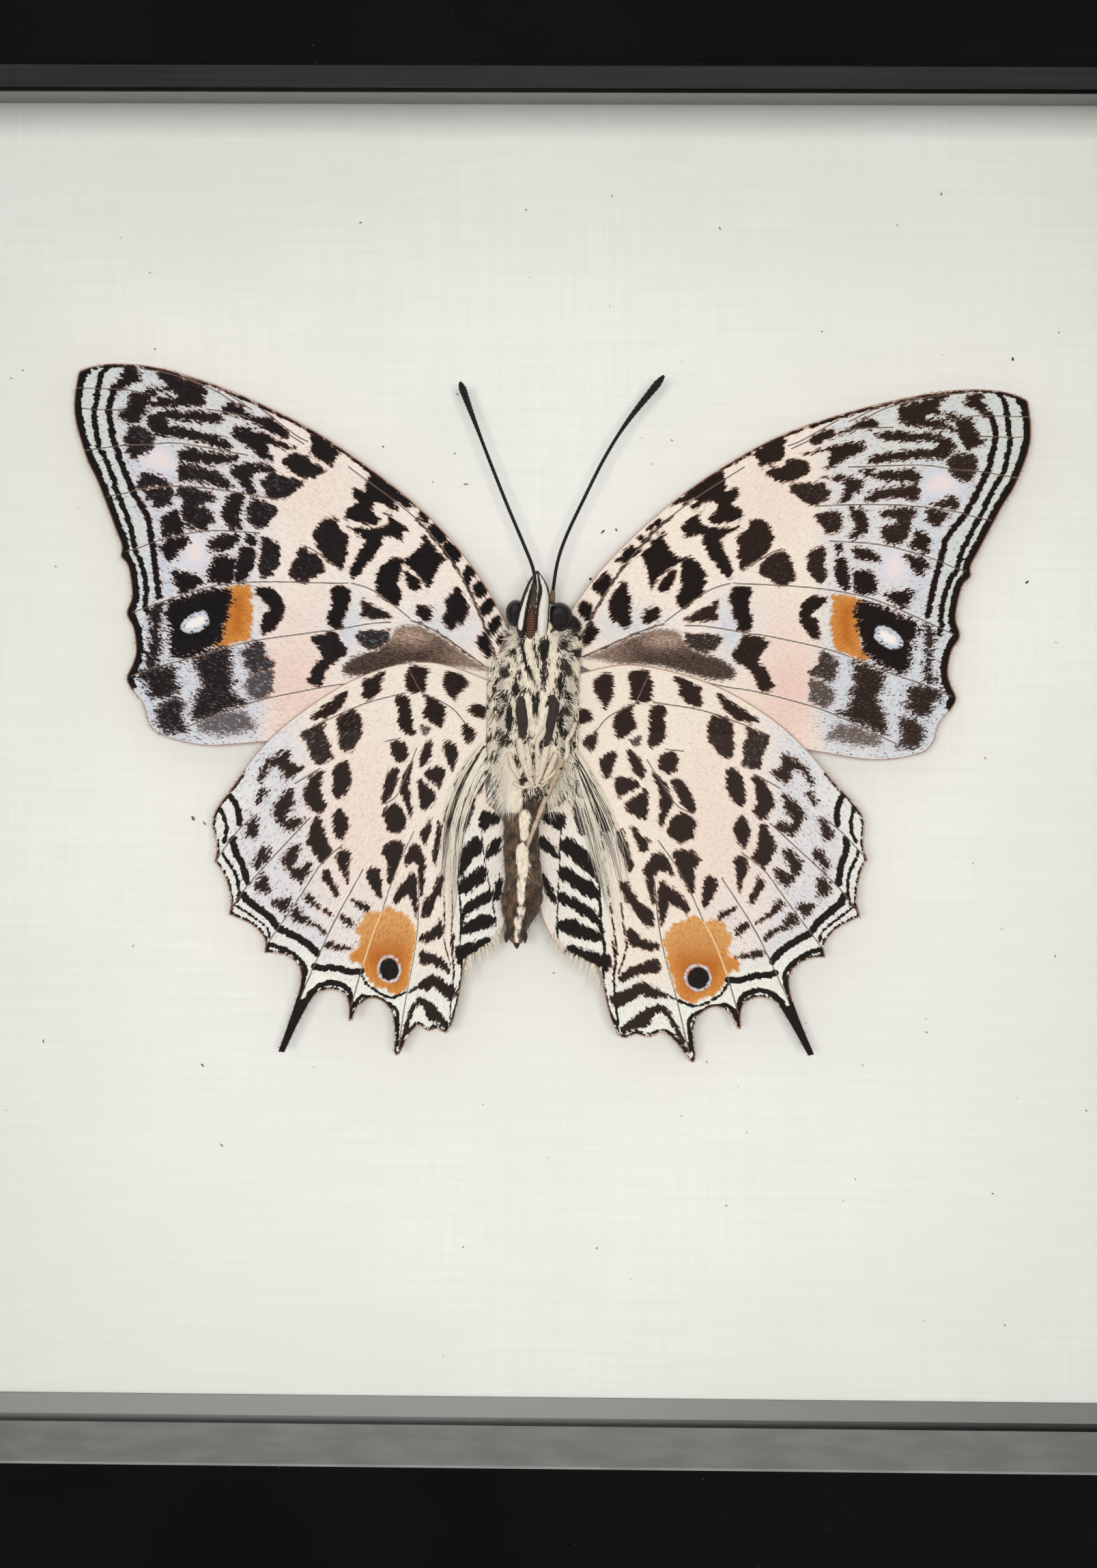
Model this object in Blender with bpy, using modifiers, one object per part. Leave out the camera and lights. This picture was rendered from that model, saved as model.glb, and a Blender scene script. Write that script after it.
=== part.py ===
"""A butterfly mounted underside-out behind glass in a small deep black frame.

The frame stands on its bottom rail.  +X is to the viewer's right, +Z is up and the glass
looks towards -Y.  The origin is the middle of the bottom rail's underside.

Lengths below are in millimetres; MM turns them into metres where a mesh is made.  A place
inside the frame is written (u, v, depth): u from the middle towards the right, v up from
the middle of the opening, and depth back from the front face of the rails.
"""
import math

import bmesh
import bpy
import numpy as np
from mathutils import Matrix, Vector

MM = 0.001

# ---- frame ----------------------------------------------------------------------------
OUTER = 127.0            # outside of the square frame
FRAME_DEPTH = 27.5       # front face to back face
FACE_WIDTH = 12.5        # rail width seen from the front
RABBET_WALL = 8.0        # rail width behind the lip
LIP_DEPTH = 11.6         # thickness of the lip in front of the glass
EDGE_SOFTENING = 0.35    # small round on the rails' long edges
MITRE_SETBACK = 0.22     # each mitred end stops this far short of the diagonal
GAP = 0.3                # clearance between pieces that touch

# ---- stack behind the lip -------------------------------------------------------------
GLASS_THICKNESS = 1.7
SPACER_DEPTH = 6.0
BOARD_THICKNESS = 1.6
PANEL_THICKNESS = 3.0
SPACER_WIDTH = 4.2

GLASS_FRONT = LIP_DEPTH + GAP
SPACER_FRONT = GLASS_FRONT + GLASS_THICKNESS + GAP
BOARD_FRONT = SPACER_FRONT + SPACER_DEPTH + GAP
PANEL_FRONT = BOARD_FRONT + BOARD_THICKNESS + GAP
TAB_FRONT = PANEL_FRONT + PANEL_THICKNESS + GAP
RABBET = OUTER - 2 * RABBET_WALL
SHEET = RABBET - 2 * GAP

# ---- fixings --------------------------------------------------------------------------
TAB_LENGTH = 14.0
TAB_WIDTH = 6.0
TAB_THICKNESS = 0.5
TAB_BITE = 3.0           # how far a tab enters its slot in the rail
TAB_SPREAD = 30.0        # the two tabs of a rail sit this far either side of its middle
HANGER_LENGTH = 38.0
HANGER_HEIGHT = 7.0
HANGER_THICKNESS = 0.8
HANGER_TEETH = 9
BRAD_SPREAD = 16.0
BRAD_HEAD_RADIUS = 1.6
BRAD_SHANK_RADIUS = 0.55
BRAD_SHANK_LENGTH = 5.0

# ---- specimen -------------------------------------------------------------------------
WING_THICKNESS = 0.3
HINDWING_FRONT = 17.15
FOREWING_FRONT = HINDWING_FRONT + WING_THICKNESS + GAP
PAD_RADIUS = 2.0
PAD_THICKNESS = 0.7
PAD_CENTRE = (-0.1, 4.5)
BODY_BACK = BOARD_FRONT - PAD_THICKNESS - 2 * GAP

# Right wings, (u, v) round the edge.  A third value of 1 marks a corner, and the edge is a
# smooth curve between corners.
RIGHT_FOREWING = [
    (3.15, 7.6, 1), (3.05, 9.4), (2.6, 11.8, 1), (4.5, 14.5), (7.0, 17.2), (10.0, 19.9),
    (14.0, 22.8), (19.0, 25.55), (25.0, 27.55), (31.0, 28.85), (35.0, 29.0), (37.4, 28.4),
    (37.9, 27.6), (38.05, 24.9), (37.0, 21.8), (35.9, 19.9), (34.2, 16.6), (33.6, 15.4),
    (33.6, 14.6), (32.95, 13.8), (32.5, 11.5), (32.85, 10.0), (32.25, 8.9), (31.95, 7.3),
    (32.2, 6.2), (32.62, 5.2), (32.3, 4.4), (31.3, 3.2), (30.8, 1.6), (29.6, 0.75),
    (26.5, 0.3), (23.0, 0.75), (19.5, 1.5), (10.0, 4.4),
]
RIGHT_HINDWING = [
    (3.2, 6.9, 1), (5.3, 7.45), (7.4, 7.65), (10.5, 7.15), (14.5, 5.8), (18.2, 3.6),
    (20.8, 1.35), (23.2, -1.4), (25.4, -3.9), (25.5, -6.2), (25.85, -7.4, 1),
    (25.3, -8.6), (25.05, -10.6), (25.35, -11.9, 1), (23.6, -12.8), (22.6, -14.0),
    (22.65, -15.1, 1), (21.2, -15.3), (20.0, -16.3), (19.9, -18.0), (20.6, -20.2),
    (21.85, -22.75, 1), (21.45, -22.85, 1), (20.0, -20.1), (18.9, -18.7), (17.6, -18.3),
    (16.5, -18.7), (16.1, -19.6), (16.15, -20.8, 1), (15.85, -20.8, 1), (15.3, -19.7),
    (14.2, -19.05), (13.0, -19.6), (12.45, -20.9), (12.6, -23.1), (12.1, -23.35),
    (11.2, -22.1), (10.0, -21.1), (9.0, -21.5), (7.9, -21.3), (6.8, -21.55), (5.95, -20.2),
    (5.4, -18.0), (4.95, -16.1), (3.4, -15.4), (2.1, -14.9, 1), (1.3, -13.6), (0.65, -11.7),
    (0.5, -9.0), (0.35, -6.0), (0.6, -4.4), (1.7, -3.2, 1), (2.55, -0.6), (2.95, 3.0),
]
# The left wings are the right ones mirrored, then shifted so that these places on the right
# wing (first pair) come to these places on the left one (second pair).
FOREWING_MATCHES = [
    ((2.6, 11.8), (-2.2, 10.3)), ((3.15, 7.6), (-3.3, 6.4)), ((6.5, 12.2), (-6.4, 12.0)),
    ((14.3, 22.9), (-13.05, 22.65)), ((18.8, 25.4), (-17.3, 25.5)),
    ((37.6, 28.2), (-35.5, 30.1)), ((38.05, 25.0), (-36.05, 26.9)),
    ((33.65, 14.9), (-32.5, 16.1)), ((32.85, 10.0), (-32.05, 11.4)),
    ((32.6, 5.2), (-32.05, 6.4)), ((30.6, 1.3), (-30.1, 2.4)), ((18.2, 5.7), (-17.7, 5.9)),
    ((15.2, 14.0), (-14.7, 13.85)), ((27.2, 9.95), (-26.6, 10.8)),
    ((22.5, 18.8), (-21.4, 19.2)), ((31.0, 21.5), (-29.3, 23.0)),
]
HINDWING_MATCHES = [
    ((3.2, 6.9), (-3.6, 6.3)), ((5.2, 5.9), (-6.4, 6.2)), ((11.9, 5.5), (-12.8, 5.8)),
    ((22.0, 0.0), (-22.4, -0.15)), ((25.8, -7.4), (-25.1, -7.9)),
    ((25.3, -11.9), (-24.0, -12.1)), ((22.6, -15.1), (-21.2, -15.1)),
    ((21.65, -22.8), (-19.95, -22.9)), ((16.0, -20.8), (-14.5, -20.4)),
    ((12.3, -23.35), (-10.8, -23.0)), ((6.8, -21.5), (-6.9, -21.2)),
    ((2.1, -14.9), (-3.25, -14.3)), ((12.65, -16.9), (-11.35, -16.4)),
    ((14.4, 2.1), (-14.55, 2.4)), ((11.4, -5.1), (-11.0, -4.5)),
    ((2.0, -5.5), (-4.3, -5.5)), ((1.75, -10.0), (-3.55, -10.0)),
]
# Body, head to tail: (v, middle u, half width, front depth, back depth).
BODY_SECTIONS = [
    (14.85, 0.00, 0.12, 15.60, 16.00), (14.0, -0.02, 0.42, 15.20, 16.30),
    (13.0, 0.00, 0.85, 14.90, 16.60), (12.4, 0.05, 1.50, 14.75, 16.95),
    (11.9, 0.10, 2.20, 14.65, 17.20), (11.2, 0.12, 2.42, 14.60, 17.35),
    (10.6, 0.10, 2.20, 14.60, 17.35), (10.1, 0.05, 1.75, 14.60, 17.40),
    (9.5, 0.05, 1.90, 14.50, 17.70), (8.5, 0.05, 2.35, 14.30, 18.20),
    (7.0, 0.00, 2.60, 14.15, 18.70), (5.0, -0.05, 2.65, 14.10, BODY_BACK),
    (3.0, -0.10, 2.60, 14.10, BODY_BACK), (1.0, -0.20, 2.40, 14.20, 18.60),
    (-0.8, -0.35, 2.05, 14.45, 18.00), (-2.2, -0.60, 1.70, 14.65, 17.20),
    (-3.2, -0.85, 1.50, 14.65, 16.80), (-5.0, -1.10, 1.42, 14.65, 16.80),
    (-7.0, -1.08, 1.45, 14.65, 16.80), (-9.0, -0.90, 1.50, 14.65, 16.80),
    (-10.5, -1.05, 1.68, 14.65, 16.80), (-11.6, -1.15, 1.45, 14.70, 16.75),
    (-12.6, -1.35, 0.98, 14.90, 16.60), (-13.5, -1.50, 0.78, 15.10, 16.45),
    (-14.05, -1.40, 0.52, 15.30, 16.25), (-14.45, -1.40, 0.18, 15.60, 15.95),
]
BODY_SIDES = 28
ANTENNA_RADIUS = 0.13
ANTENNA_DEPTH = 17.1
ANTENNA_CLUB = 2.6       # the club is this many times the shaft's thickness
RIGHT_ANTENNA = [(1.2, 13.25), (1.55, 15.5), (2.2, 17.5), (3.5, 20.3), (5.2, 23.7),
                 (7.0, 26.55), (9.7, 29.95)]
LEFT_ANTENNA = [(-0.12, 13.6), (-0.35, 15.1), (-1.1, 17.0), (-2.3, 19.8), (-3.6, 23.0),
                (-5.0, 26.6), (-6.05, 29.4)]
LEG_RADIUS = 0.19
LEG_DEPTH = 14.1
HIND_LEG = [(2.05, 0.5), (1.7, -0.7), (0.9, -2.3), (0.1, -4.4), (-0.6, -6.3)]


def place(u, v, depth):
    """World point for a place inside the frame."""
    return Vector((u * MM, (depth - FRAME_DEPTH / 2) * MM, (v + OUTER / 2) * MM))


def material(name, colour, roughness, metallic=0.0):
    """A plain Principled material, made once for each name."""
    made = bpy.data.materials.get(name)
    if made is None:
        made = bpy.data.materials.new(name)
        made.use_nodes = True
        shader = made.node_tree.nodes["Principled BSDF"]
        shader.inputs["Base Color"].default_value = (*colour, 1.0)
        shader.inputs["Roughness"].default_value = roughness
        shader.inputs["Metallic"].default_value = metallic
    return made


def collection(name):
    made = bpy.data.collections.new(name)
    bpy.context.scene.collection.children.link(made)
    return made


def mesh_object(name, mesh_builder, group, finish=None):
    """An object from a bmesh, outward faces, in the given collection."""
    bmesh.ops.recalc_face_normals(mesh_builder, faces=mesh_builder.faces)
    mesh = bpy.data.meshes.new(name)
    mesh_builder.to_mesh(mesh)
    mesh_builder.free()
    thing = bpy.data.objects.new(name, mesh)
    group.objects.link(thing)
    if finish is not None:
        mesh.materials.append(finish)
    return thing


def block(name, low, high, group, finish=None):
    """A box between two corners given as (u, v, depth)."""
    start = place(*low)
    end = place(*high)
    builder = bmesh.new()
    bmesh.ops.create_cube(builder, size=1.0)
    bmesh.ops.scale(builder, vec=[abs(b - a) for a, b in zip(start, end)], verts=builder.verts)
    bmesh.ops.translate(builder, vec=(start + end) / 2, verts=builder.verts)
    return mesh_object(name, builder, group, finish)


def disc(name, centre, radius, front, back, group, finish=None, sides=32):
    """A round slug along the depth, centred at (u, v)."""
    middle = place(centre[0], centre[1], (front + back) / 2)
    builder = bmesh.new()
    bmesh.ops.create_cone(builder, cap_ends=True, segments=sides, radius1=radius * MM,
                          radius2=radius * MM, depth=(back - front) * MM,
                          matrix=Matrix.Translation(middle) @ Matrix.Rotation(math.pi / 2, 4, "X"))
    return mesh_object(name, builder, group, finish)


def smooth_outline(points, steps=4):
    """Closed Catmull-Rom curve through the points, sharp where a third value of 1 is given."""
    count = len(points)
    places = [np.array(point[:2], dtype=float) for point in points]
    corners = [len(point) == 3 for point in points]
    curve = []
    for index in range(count):
        start = places[index]
        end = places[(index + 1) % count]
        before = start if corners[index] else places[index - 1]
        after = end if corners[(index + 1) % count] else places[(index + 2) % count]
        for step in range(steps):
            t = step / steps
            curve.append(0.5 * (2 * start + (end - before) * t
                                + (2 * before - 5 * start + 4 * end - after) * t * t
                                + (3 * start - before - 3 * end + after) * t ** 3))
    return curve


def smooth_path(points, steps):
    """Open Catmull-Rom curve through the points."""
    places = [np.array(point, dtype=float) for point in points]
    places = [2 * places[0] - places[1], *places, 2 * places[-1] - places[-2]]
    curve = []
    for index in range(1, len(places) - 2):
        before, start, end, after = places[index - 1:index + 3]
        for step in range(steps):
            t = step / steps
            curve.append(0.5 * (2 * start + (end - before) * t
                                + (2 * before - 5 * start + 4 * end - after) * t * t
                                + (3 * start - before - 3 * end + after) * t ** 3))
    curve.append(places[-2])
    return curve


def thin_plate(distance):
    return np.where(distance > 0, distance ** 2 * np.log(np.maximum(distance, 1e-9)), 0.0)


def to_left_side(points, matches):
    """Mirror right-wing points, then bend them so that each match lands on its left place."""
    source = np.array([(-pair[0][0], pair[0][1]) for pair in matches])
    target = np.array([pair[1] for pair in matches])
    count = len(source)
    system = np.zeros((count + 3, count + 3))
    system[:count, :count] = thin_plate(np.linalg.norm(source[:, None] - source[None], axis=2))
    system[:count, count] = 1.0
    system[:count, count + 1:] = source
    system[count:, :count] = system[:count, count:].T
    weights = np.linalg.solve(system, np.vstack([target, np.zeros((3, 2))]))
    moved = np.array([(-point[0], point[1]) for point in points])
    pull = thin_plate(np.linalg.norm(moved[:, None] - source[None], axis=2))
    return pull @ weights[:count] + weights[count] + moved @ weights[count + 1:]


def flat_shape(name, outline, front, thickness, group, finish, holes=()):
    """A flat outline (with any holes) as a filled 2D curve extruded to its thickness."""
    curve = bpy.data.curves.new(name, "CURVE")
    curve.dimensions = "2D"
    curve.fill_mode = "BOTH"
    curve.extrude = thickness / 2 * MM
    for loop in (outline, *holes):
        spline = curve.splines.new("POLY")
        spline.points.add(len(loop) - 1)
        for point, (u, v) in zip(spline.points, loop):
            point.co = (u * MM, v * MM, 0.0, 1.0)
        spline.use_cyclic_u = True
    curve.materials.append(finish)
    thing = bpy.data.objects.new(name, curve)
    thing.rotation_euler = (math.pi / 2, 0.0, 0.0)
    thing.location = place(0.0, 0.0, front + thickness / 2)
    group.objects.link(thing)
    return thing


def tube(name, path, depth, radius, widths, group, finish):
    """A thin round rod along (u, v) points; widths scales its radius point by point."""
    curve = bpy.data.curves.new(name, "CURVE")
    curve.dimensions = "3D"
    curve.bevel_depth = radius * MM
    curve.bevel_resolution = 2
    curve.use_fill_caps = True
    spline = curve.splines.new("POLY")
    spline.points.add(len(path) - 1)
    for point, (u, v), width in zip(spline.points, path, widths):
        point.co = (*place(u, v, depth), 1.0)
        point.radius = width
    curve.materials.append(finish)
    thing = bpy.data.objects.new(name, curve)
    group.objects.link(thing)
    return thing


def cut(target, cutter):
    """Take a cutter's shape out of a piece."""
    step = target.modifiers.new(cutter.name, "BOOLEAN")
    step.operation = "DIFFERENCE"
    step.solver = "EXACT"
    step.object = cutter
    cutter.hide_render = True
    cutter.display_type = "WIRE"


def build_rails(group, cutters):
    """Four mitred rails, each with a lip in front and a deep rabbet behind it."""
    black = material("rail_black", (0.012, 0.012, 0.013), 0.42)
    half = OUTER / 2
    profile = [(0, 0), (FACE_WIDTH, 0), (FACE_WIDTH, LIP_DEPTH), (RABBET_WALL, LIP_DEPTH),
               (RABBET_WALL, FRAME_DEPTH), (0, FRAME_DEPTH)]
    turns = {"rail_bottom": 0.0, "rail_right": -math.pi / 2, "rail_top": math.pi,
             "rail_left": math.pi / 2}
    rails = {}
    for name, turn in turns.items():
        builder = bmesh.new()
        ring = [builder.verts.new(place(-(half - inward - MITRE_SETBACK), inward - half, depth))
                for inward, depth in profile]
        face = builder.faces.new(ring)
        grown = bmesh.ops.extrude_face_region(builder, geom=[face])
        for item in grown["geom"]:
            if isinstance(item, bmesh.types.BMVert):
                item.co.x = -item.co.x
        around = Matrix.Translation(place(0, 0, 0)) @ Matrix.Rotation(turn, 4, "Y")
        around = around @ Matrix.Translation(-place(0, 0, 0))
        bmesh.ops.transform(builder, matrix=around, verts=builder.verts)
        rail = mesh_object(name, builder, group, black)
        soften = rail.modifiers.new("soft_edges", "BEVEL")
        soften.width = EDGE_SOFTENING * MM
        soften.segments = 2
        soften.limit_method = "ANGLE"
        soften.angle_limit = math.radians(60)
        rails[name] = rail
    cut_tab_slots(rails, cutters)
    for side in (-1, 1):
        hole = disc(f"brad_hole_{side:+d}", (side * BRAD_SPREAD, half - RABBET_WALL / 2),
                    BRAD_SHANK_RADIUS + GAP, FRAME_DEPTH - BRAD_SHANK_LENGTH - GAP,
                    FRAME_DEPTH + 1.0, cutters, sides=16)
        cut(rails["rail_top"], hole)


def tab_places():
    """Each flex tab's rail, and its extent as two corners (u, v) at the slot's rail."""
    inner = RABBET / 2
    near = inner - (TAB_LENGTH - TAB_BITE)
    far = inner + TAB_BITE
    for along in (-TAB_SPREAD, TAB_SPREAD):
        low = along - TAB_WIDTH / 2
        high = along + TAB_WIDTH / 2
        yield "rail_bottom", (low, -far), (high, -near)
        yield "rail_top", (low, near), (high, far)
        yield "rail_left", (-far, low), (-near, high)
        yield "rail_right", (near, low), (far, high)


def cut_tab_slots(rails, cutters):
    for number, (rail, low, high) in enumerate(tab_places(), start=1):
        slot = block(f"tab_slot_{number}",
                     (low[0] - GAP, low[1] - GAP, TAB_FRONT - GAP),
                     (high[0] + GAP, high[1] + GAP, TAB_FRONT + TAB_THICKNESS + GAP), cutters)
        cut(rails[rail], slot)


def build_stack(group):
    """Glass, the four spacers behind it, the mount board and the back panel."""
    half = SHEET / 2
    layers = [
        ("glass_pane", GLASS_FRONT, GLASS_THICKNESS, material("clear_glass", (0.8, 0.85, 0.84), 0.02)),
        ("mount_board", BOARD_FRONT, BOARD_THICKNESS, material("linen_card", (0.80, 0.79, 0.75), 0.8)),
        ("back_panel", PANEL_FRONT, PANEL_THICKNESS, material("hardboard", (0.20, 0.12, 0.07), 0.7)),
    ]
    for name, front, thickness, finish in layers:
        block(name, (-half, -half, front), (half, half, front + thickness), group, finish)
    satin = material("spacer_satin", (0.06, 0.06, 0.06), 0.3)
    inside = half - SPACER_WIDTH
    side = inside - GAP
    back = SPACER_FRONT + SPACER_DEPTH
    strips = {
        "spacer_bottom": ((-half, -half), (half, -inside)),
        "spacer_top": ((-half, inside), (half, half)),
        "spacer_left": ((-half, -side), (-inside, side)),
        "spacer_right": ((inside, -side), (half, side)),
    }
    for name, (low, high) in strips.items():
        block(name, (*low, SPACER_FRONT), (*high, back), group, satin)


def build_fixings(group):
    """Flex tabs that hold the stack in, and the sawtooth hanger with its two brads."""
    steel = material("spring_steel", (0.45, 0.45, 0.46), 0.35, 1.0)
    for number, (_, low, high) in enumerate(tab_places(), start=1):
        block(f"tab_{number}", (*low, TAB_FRONT), (*high, TAB_FRONT + TAB_THICKNESS), group, steel)
    brassed = material("brassed_steel", (0.55, 0.42, 0.18), 0.3, 1.0)
    middle = OUTER / 2 - RABBET_WALL / 2
    low = middle - HANGER_HEIGHT / 2
    high = middle + HANGER_HEIGHT / 2
    reach = HANGER_LENGTH / 2
    toothed = HANGER_LENGTH / 4
    pitch = 2 * toothed / HANGER_TEETH
    outline = [(-reach, low + 1.5), (-reach + 1.5, low), (-toothed, low)]
    for tooth in range(HANGER_TEETH):
        outline.append((-toothed + (tooth + 0.5) * pitch, low + 1.4))
        outline.append((-toothed + (tooth + 1) * pitch, low))
    outline += [(reach - 1.5, low), (reach, low + 1.5), (reach, high - 1.5), (reach - 1.5, high),
                (-reach + 1.5, high), (-reach, high - 1.5)]
    holes = []
    for side in (-1, 1):
        ring = [(side * BRAD_SPREAD + (BRAD_SHANK_RADIUS + GAP) * math.cos(a),
                 middle + (BRAD_SHANK_RADIUS + GAP) * math.sin(a))
                for a in (2 * math.pi * k / 16 for k in range(16))]
        holes.append(ring)
    plate_front = FRAME_DEPTH + GAP
    flat_shape("sawtooth_hanger", outline, plate_front, HANGER_THICKNESS, group, brassed, holes)
    head_front = plate_front + HANGER_THICKNESS + GAP
    for word, side in (("left", -1), ("right", 1)):
        build_brad(f"hanger_brad_{word}", (side * BRAD_SPREAD, middle), head_front, group, brassed)


def build_brad(name, centre, head_front, group, finish):
    """A small nail: a shank into the rail and a shallow domed head, turned as one profile."""
    tip = FRAME_DEPTH - BRAD_SHANK_LENGTH
    profile = [(0.0, tip), (BRAD_SHANK_RADIUS, tip + 1.2), (BRAD_SHANK_RADIUS, head_front),
               (BRAD_HEAD_RADIUS, head_front), (BRAD_HEAD_RADIUS * 0.8, head_front + 0.45),
               (0.0, head_front + 0.6)]
    builder = bmesh.new()
    points = [builder.verts.new(((radius * MM), 0.0, (head_front - depth) * MM))
              for radius, depth in profile]
    for first, second in zip(points, points[1:]):
        builder.edges.new((first, second))
    bmesh.ops.spin(builder, geom=builder.verts[:] + builder.edges[:], cent=(0, 0, 0),
                   axis=(0, 0, 1), angle=2 * math.pi, steps=16, use_merge=True)
    bmesh.ops.remove_doubles(builder, verts=builder.verts, dist=0.00001)
    upright = Matrix.Rotation(math.pi / 2, 4, "X")
    bmesh.ops.transform(builder, matrix=Matrix.Translation(place(*centre, head_front)) @ upright,
                        verts=builder.verts)
    return mesh_object(name, builder, group, finish)


def build_body(group):
    """Head, thorax and abdomen as one lofted solid of oval sections."""
    brown = material("body_scales", (0.16, 0.11, 0.08), 0.8)
    builder = bmesh.new()
    rings = []
    for v, middle, half_width, front, back in BODY_SECTIONS:
        centre_depth = (front + back) / 2
        half_depth = (back - front) / 2
        ring = []
        for side in range(BODY_SIDES):
            angle = 2 * math.pi * side / BODY_SIDES
            ring.append(builder.verts.new(place(middle + half_width * math.cos(angle), v,
                                                centre_depth + half_depth * math.sin(angle))))
        rings.append(ring)
    for above, below in zip(rings, rings[1:]):
        for side in range(BODY_SIDES):
            after = (side + 1) % BODY_SIDES
            builder.faces.new((above[side], above[after], below[after], below[side]))
    builder.faces.new(rings[0])
    builder.faces.new(rings[-1])
    body = mesh_object("butterfly_body", builder, group, brown)
    body.data.shade_smooth()
    disc("specimen_pad", PAD_CENTRE, PAD_RADIUS, BODY_BACK + GAP, BODY_BACK + GAP + PAD_THICKNESS,
         group, material("pad_foam", (0.7, 0.68, 0.62), 0.9))


def build_wings(group):
    """Two forewings with the hindwings lying in front of them."""
    membrane = material("wing_scales", (0.62, 0.55, 0.48), 0.7)
    forewing = smooth_outline(RIGHT_FOREWING)
    hindwing = smooth_outline(RIGHT_HINDWING)
    flat_shape("forewing_right", forewing, FOREWING_FRONT, WING_THICKNESS, group, membrane)
    flat_shape("hindwing_right", hindwing, HINDWING_FRONT, WING_THICKNESS, group, membrane)
    flat_shape("forewing_left", to_left_side(forewing, FOREWING_MATCHES), FOREWING_FRONT,
               WING_THICKNESS, group, membrane)
    flat_shape("hindwing_left", to_left_side(hindwing, HINDWING_MATCHES), HINDWING_FRONT,
               WING_THICKNESS, group, membrane)


def build_limbs(group):
    """Clubbed antennae and the one hind leg that lies across the abdomen."""
    black = material("limb_black", (0.02, 0.018, 0.018), 0.5)
    for name, points in (("antenna_right", RIGHT_ANTENNA), ("antenna_left", LEFT_ANTENNA)):
        path = smooth_path(points, 3)
        widths = [1.0 + (ANTENNA_CLUB - 1.0) * max(0.0, (k / (len(path) - 1) - 0.8) / 0.2) ** 0.8
                  for k in range(len(path))]
        tube(name, path, ANTENNA_DEPTH, ANTENNA_RADIUS, widths, group, black)
    leg = smooth_path(HIND_LEG, 3)
    tube("hind_leg", leg, LEG_DEPTH, LEG_RADIUS, [1.0] * len(leg), group, material(
        "leg_cream", (0.6, 0.5, 0.38), 0.7))


def main():
    for thing in list(bpy.data.objects):
        bpy.data.objects.remove(thing)
    parts = collection("framed_butterfly_specimen")
    cutters = collection("cutters")
    build_rails(parts, cutters)
    build_stack(parts)
    build_fixings(parts)
    build_body(parts)
    build_wings(parts)
    build_limbs(parts)


main()
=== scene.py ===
import math

import bmesh
import bpy
import numpy as np
from mathutils import Matrix, Vector
from mathutils.geometry import delaunay_2d_cdt


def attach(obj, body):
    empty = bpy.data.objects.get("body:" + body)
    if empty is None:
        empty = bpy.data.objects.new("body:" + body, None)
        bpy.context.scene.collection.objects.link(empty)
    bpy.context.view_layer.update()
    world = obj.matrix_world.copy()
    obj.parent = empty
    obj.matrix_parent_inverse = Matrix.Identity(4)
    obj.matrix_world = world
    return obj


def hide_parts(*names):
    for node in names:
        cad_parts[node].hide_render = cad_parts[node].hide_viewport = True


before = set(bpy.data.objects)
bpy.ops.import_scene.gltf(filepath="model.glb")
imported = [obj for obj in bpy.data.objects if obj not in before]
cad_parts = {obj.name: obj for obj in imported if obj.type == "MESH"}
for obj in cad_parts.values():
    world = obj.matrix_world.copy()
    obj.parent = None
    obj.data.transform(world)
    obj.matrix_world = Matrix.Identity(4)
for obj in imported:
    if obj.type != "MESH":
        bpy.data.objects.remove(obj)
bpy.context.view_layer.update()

# ---- Rails -----------------------------------------------
# Four mitred rails of a deep box moulding in wood composite, sprayed satin black.  They are
# glued and pinned at the corners, and the lip in front holds the glass.
MM = 0.001
HALF_DEPTH = 13.75       # half the rails' depth
HALF_OUTER = 63.5        # half the outside width and height


def spot(u, v, depth):
    """World point for a place inside the frame, in millimetres."""
    return Vector((u * MM, (depth - HALF_DEPTH) * MM, (v + HALF_OUTER) * MM))


def paint(red, green, blue):
    """Linear colour for a painter's 0 to 255 colour."""
    made = [(((c / 255) + 0.055) / 1.055) ** 2.4 if c > 10 else c / 255 / 12.92
            for c in (red, green, blue)]
    return (*made, 1.0)


def new_finish(name, roughness, colour=(0.5, 0.5, 0.5, 1.0)):
    """Start a finish.  The helpers below add their nodes to the one that was started last."""
    global tree, shader
    made = bpy.data.materials.new(name)
    made.use_nodes = True
    tree = made.node_tree
    shader = tree.nodes["Principled BSDF"]
    into("Roughness", roughness)
    coat(colour)
    return made


def into(socket, value, node=None):
    """Set a socket of the finish's shader, or of another node, or link the value to it."""
    place = (node or shader).inputs[socket]
    if isinstance(value, bpy.types.NodeSocket):
        tree.links.new(value, place)
    else:
        place.default_value = value


def coat(colour):
    """Give the finish its colour."""
    into("Base Color", colour)


def step_of(kind, inputs, **settings):
    """One node, with its inputs set or linked."""
    made = tree.nodes.new(kind)
    for key, value in settings.items():
        setattr(made, key, value)
    for key, value in inputs.items():
        into(key, value, made)
    return made


def millimetres(stretch=(1.0, 1.0, 1.0)):
    """Places on the piece in millimetres, times a stretch along each axis."""
    coordinates = step_of("ShaderNodeTexCoord", {})
    scale = [1000.0 * s for s in stretch]
    return step_of("ShaderNodeVectorMath", {0: coordinates.outputs["Object"], 1: scale},
                   operation="MULTIPLY").outputs[0]


def mottle(vector, scale, detail=2.0, rough=0.5):
    """Noise from 0 to 1."""
    made = step_of("ShaderNodeTexNoise", {"Vector": vector, "Scale": scale,
                                          "Detail": detail, "Roughness": rough})
    return made.outputs[0]


def ease(value, low, high, start=0.0, end=1.0):
    """A smooth step from low to high."""
    made = step_of("ShaderNodeMapRange", {"Value": value, "From Min": low, "From Max": high,
                                          "To Min": start, "To Max": end},
                   interpolation_type="SMOOTHSTEP")
    return made.outputs[0]


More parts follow.
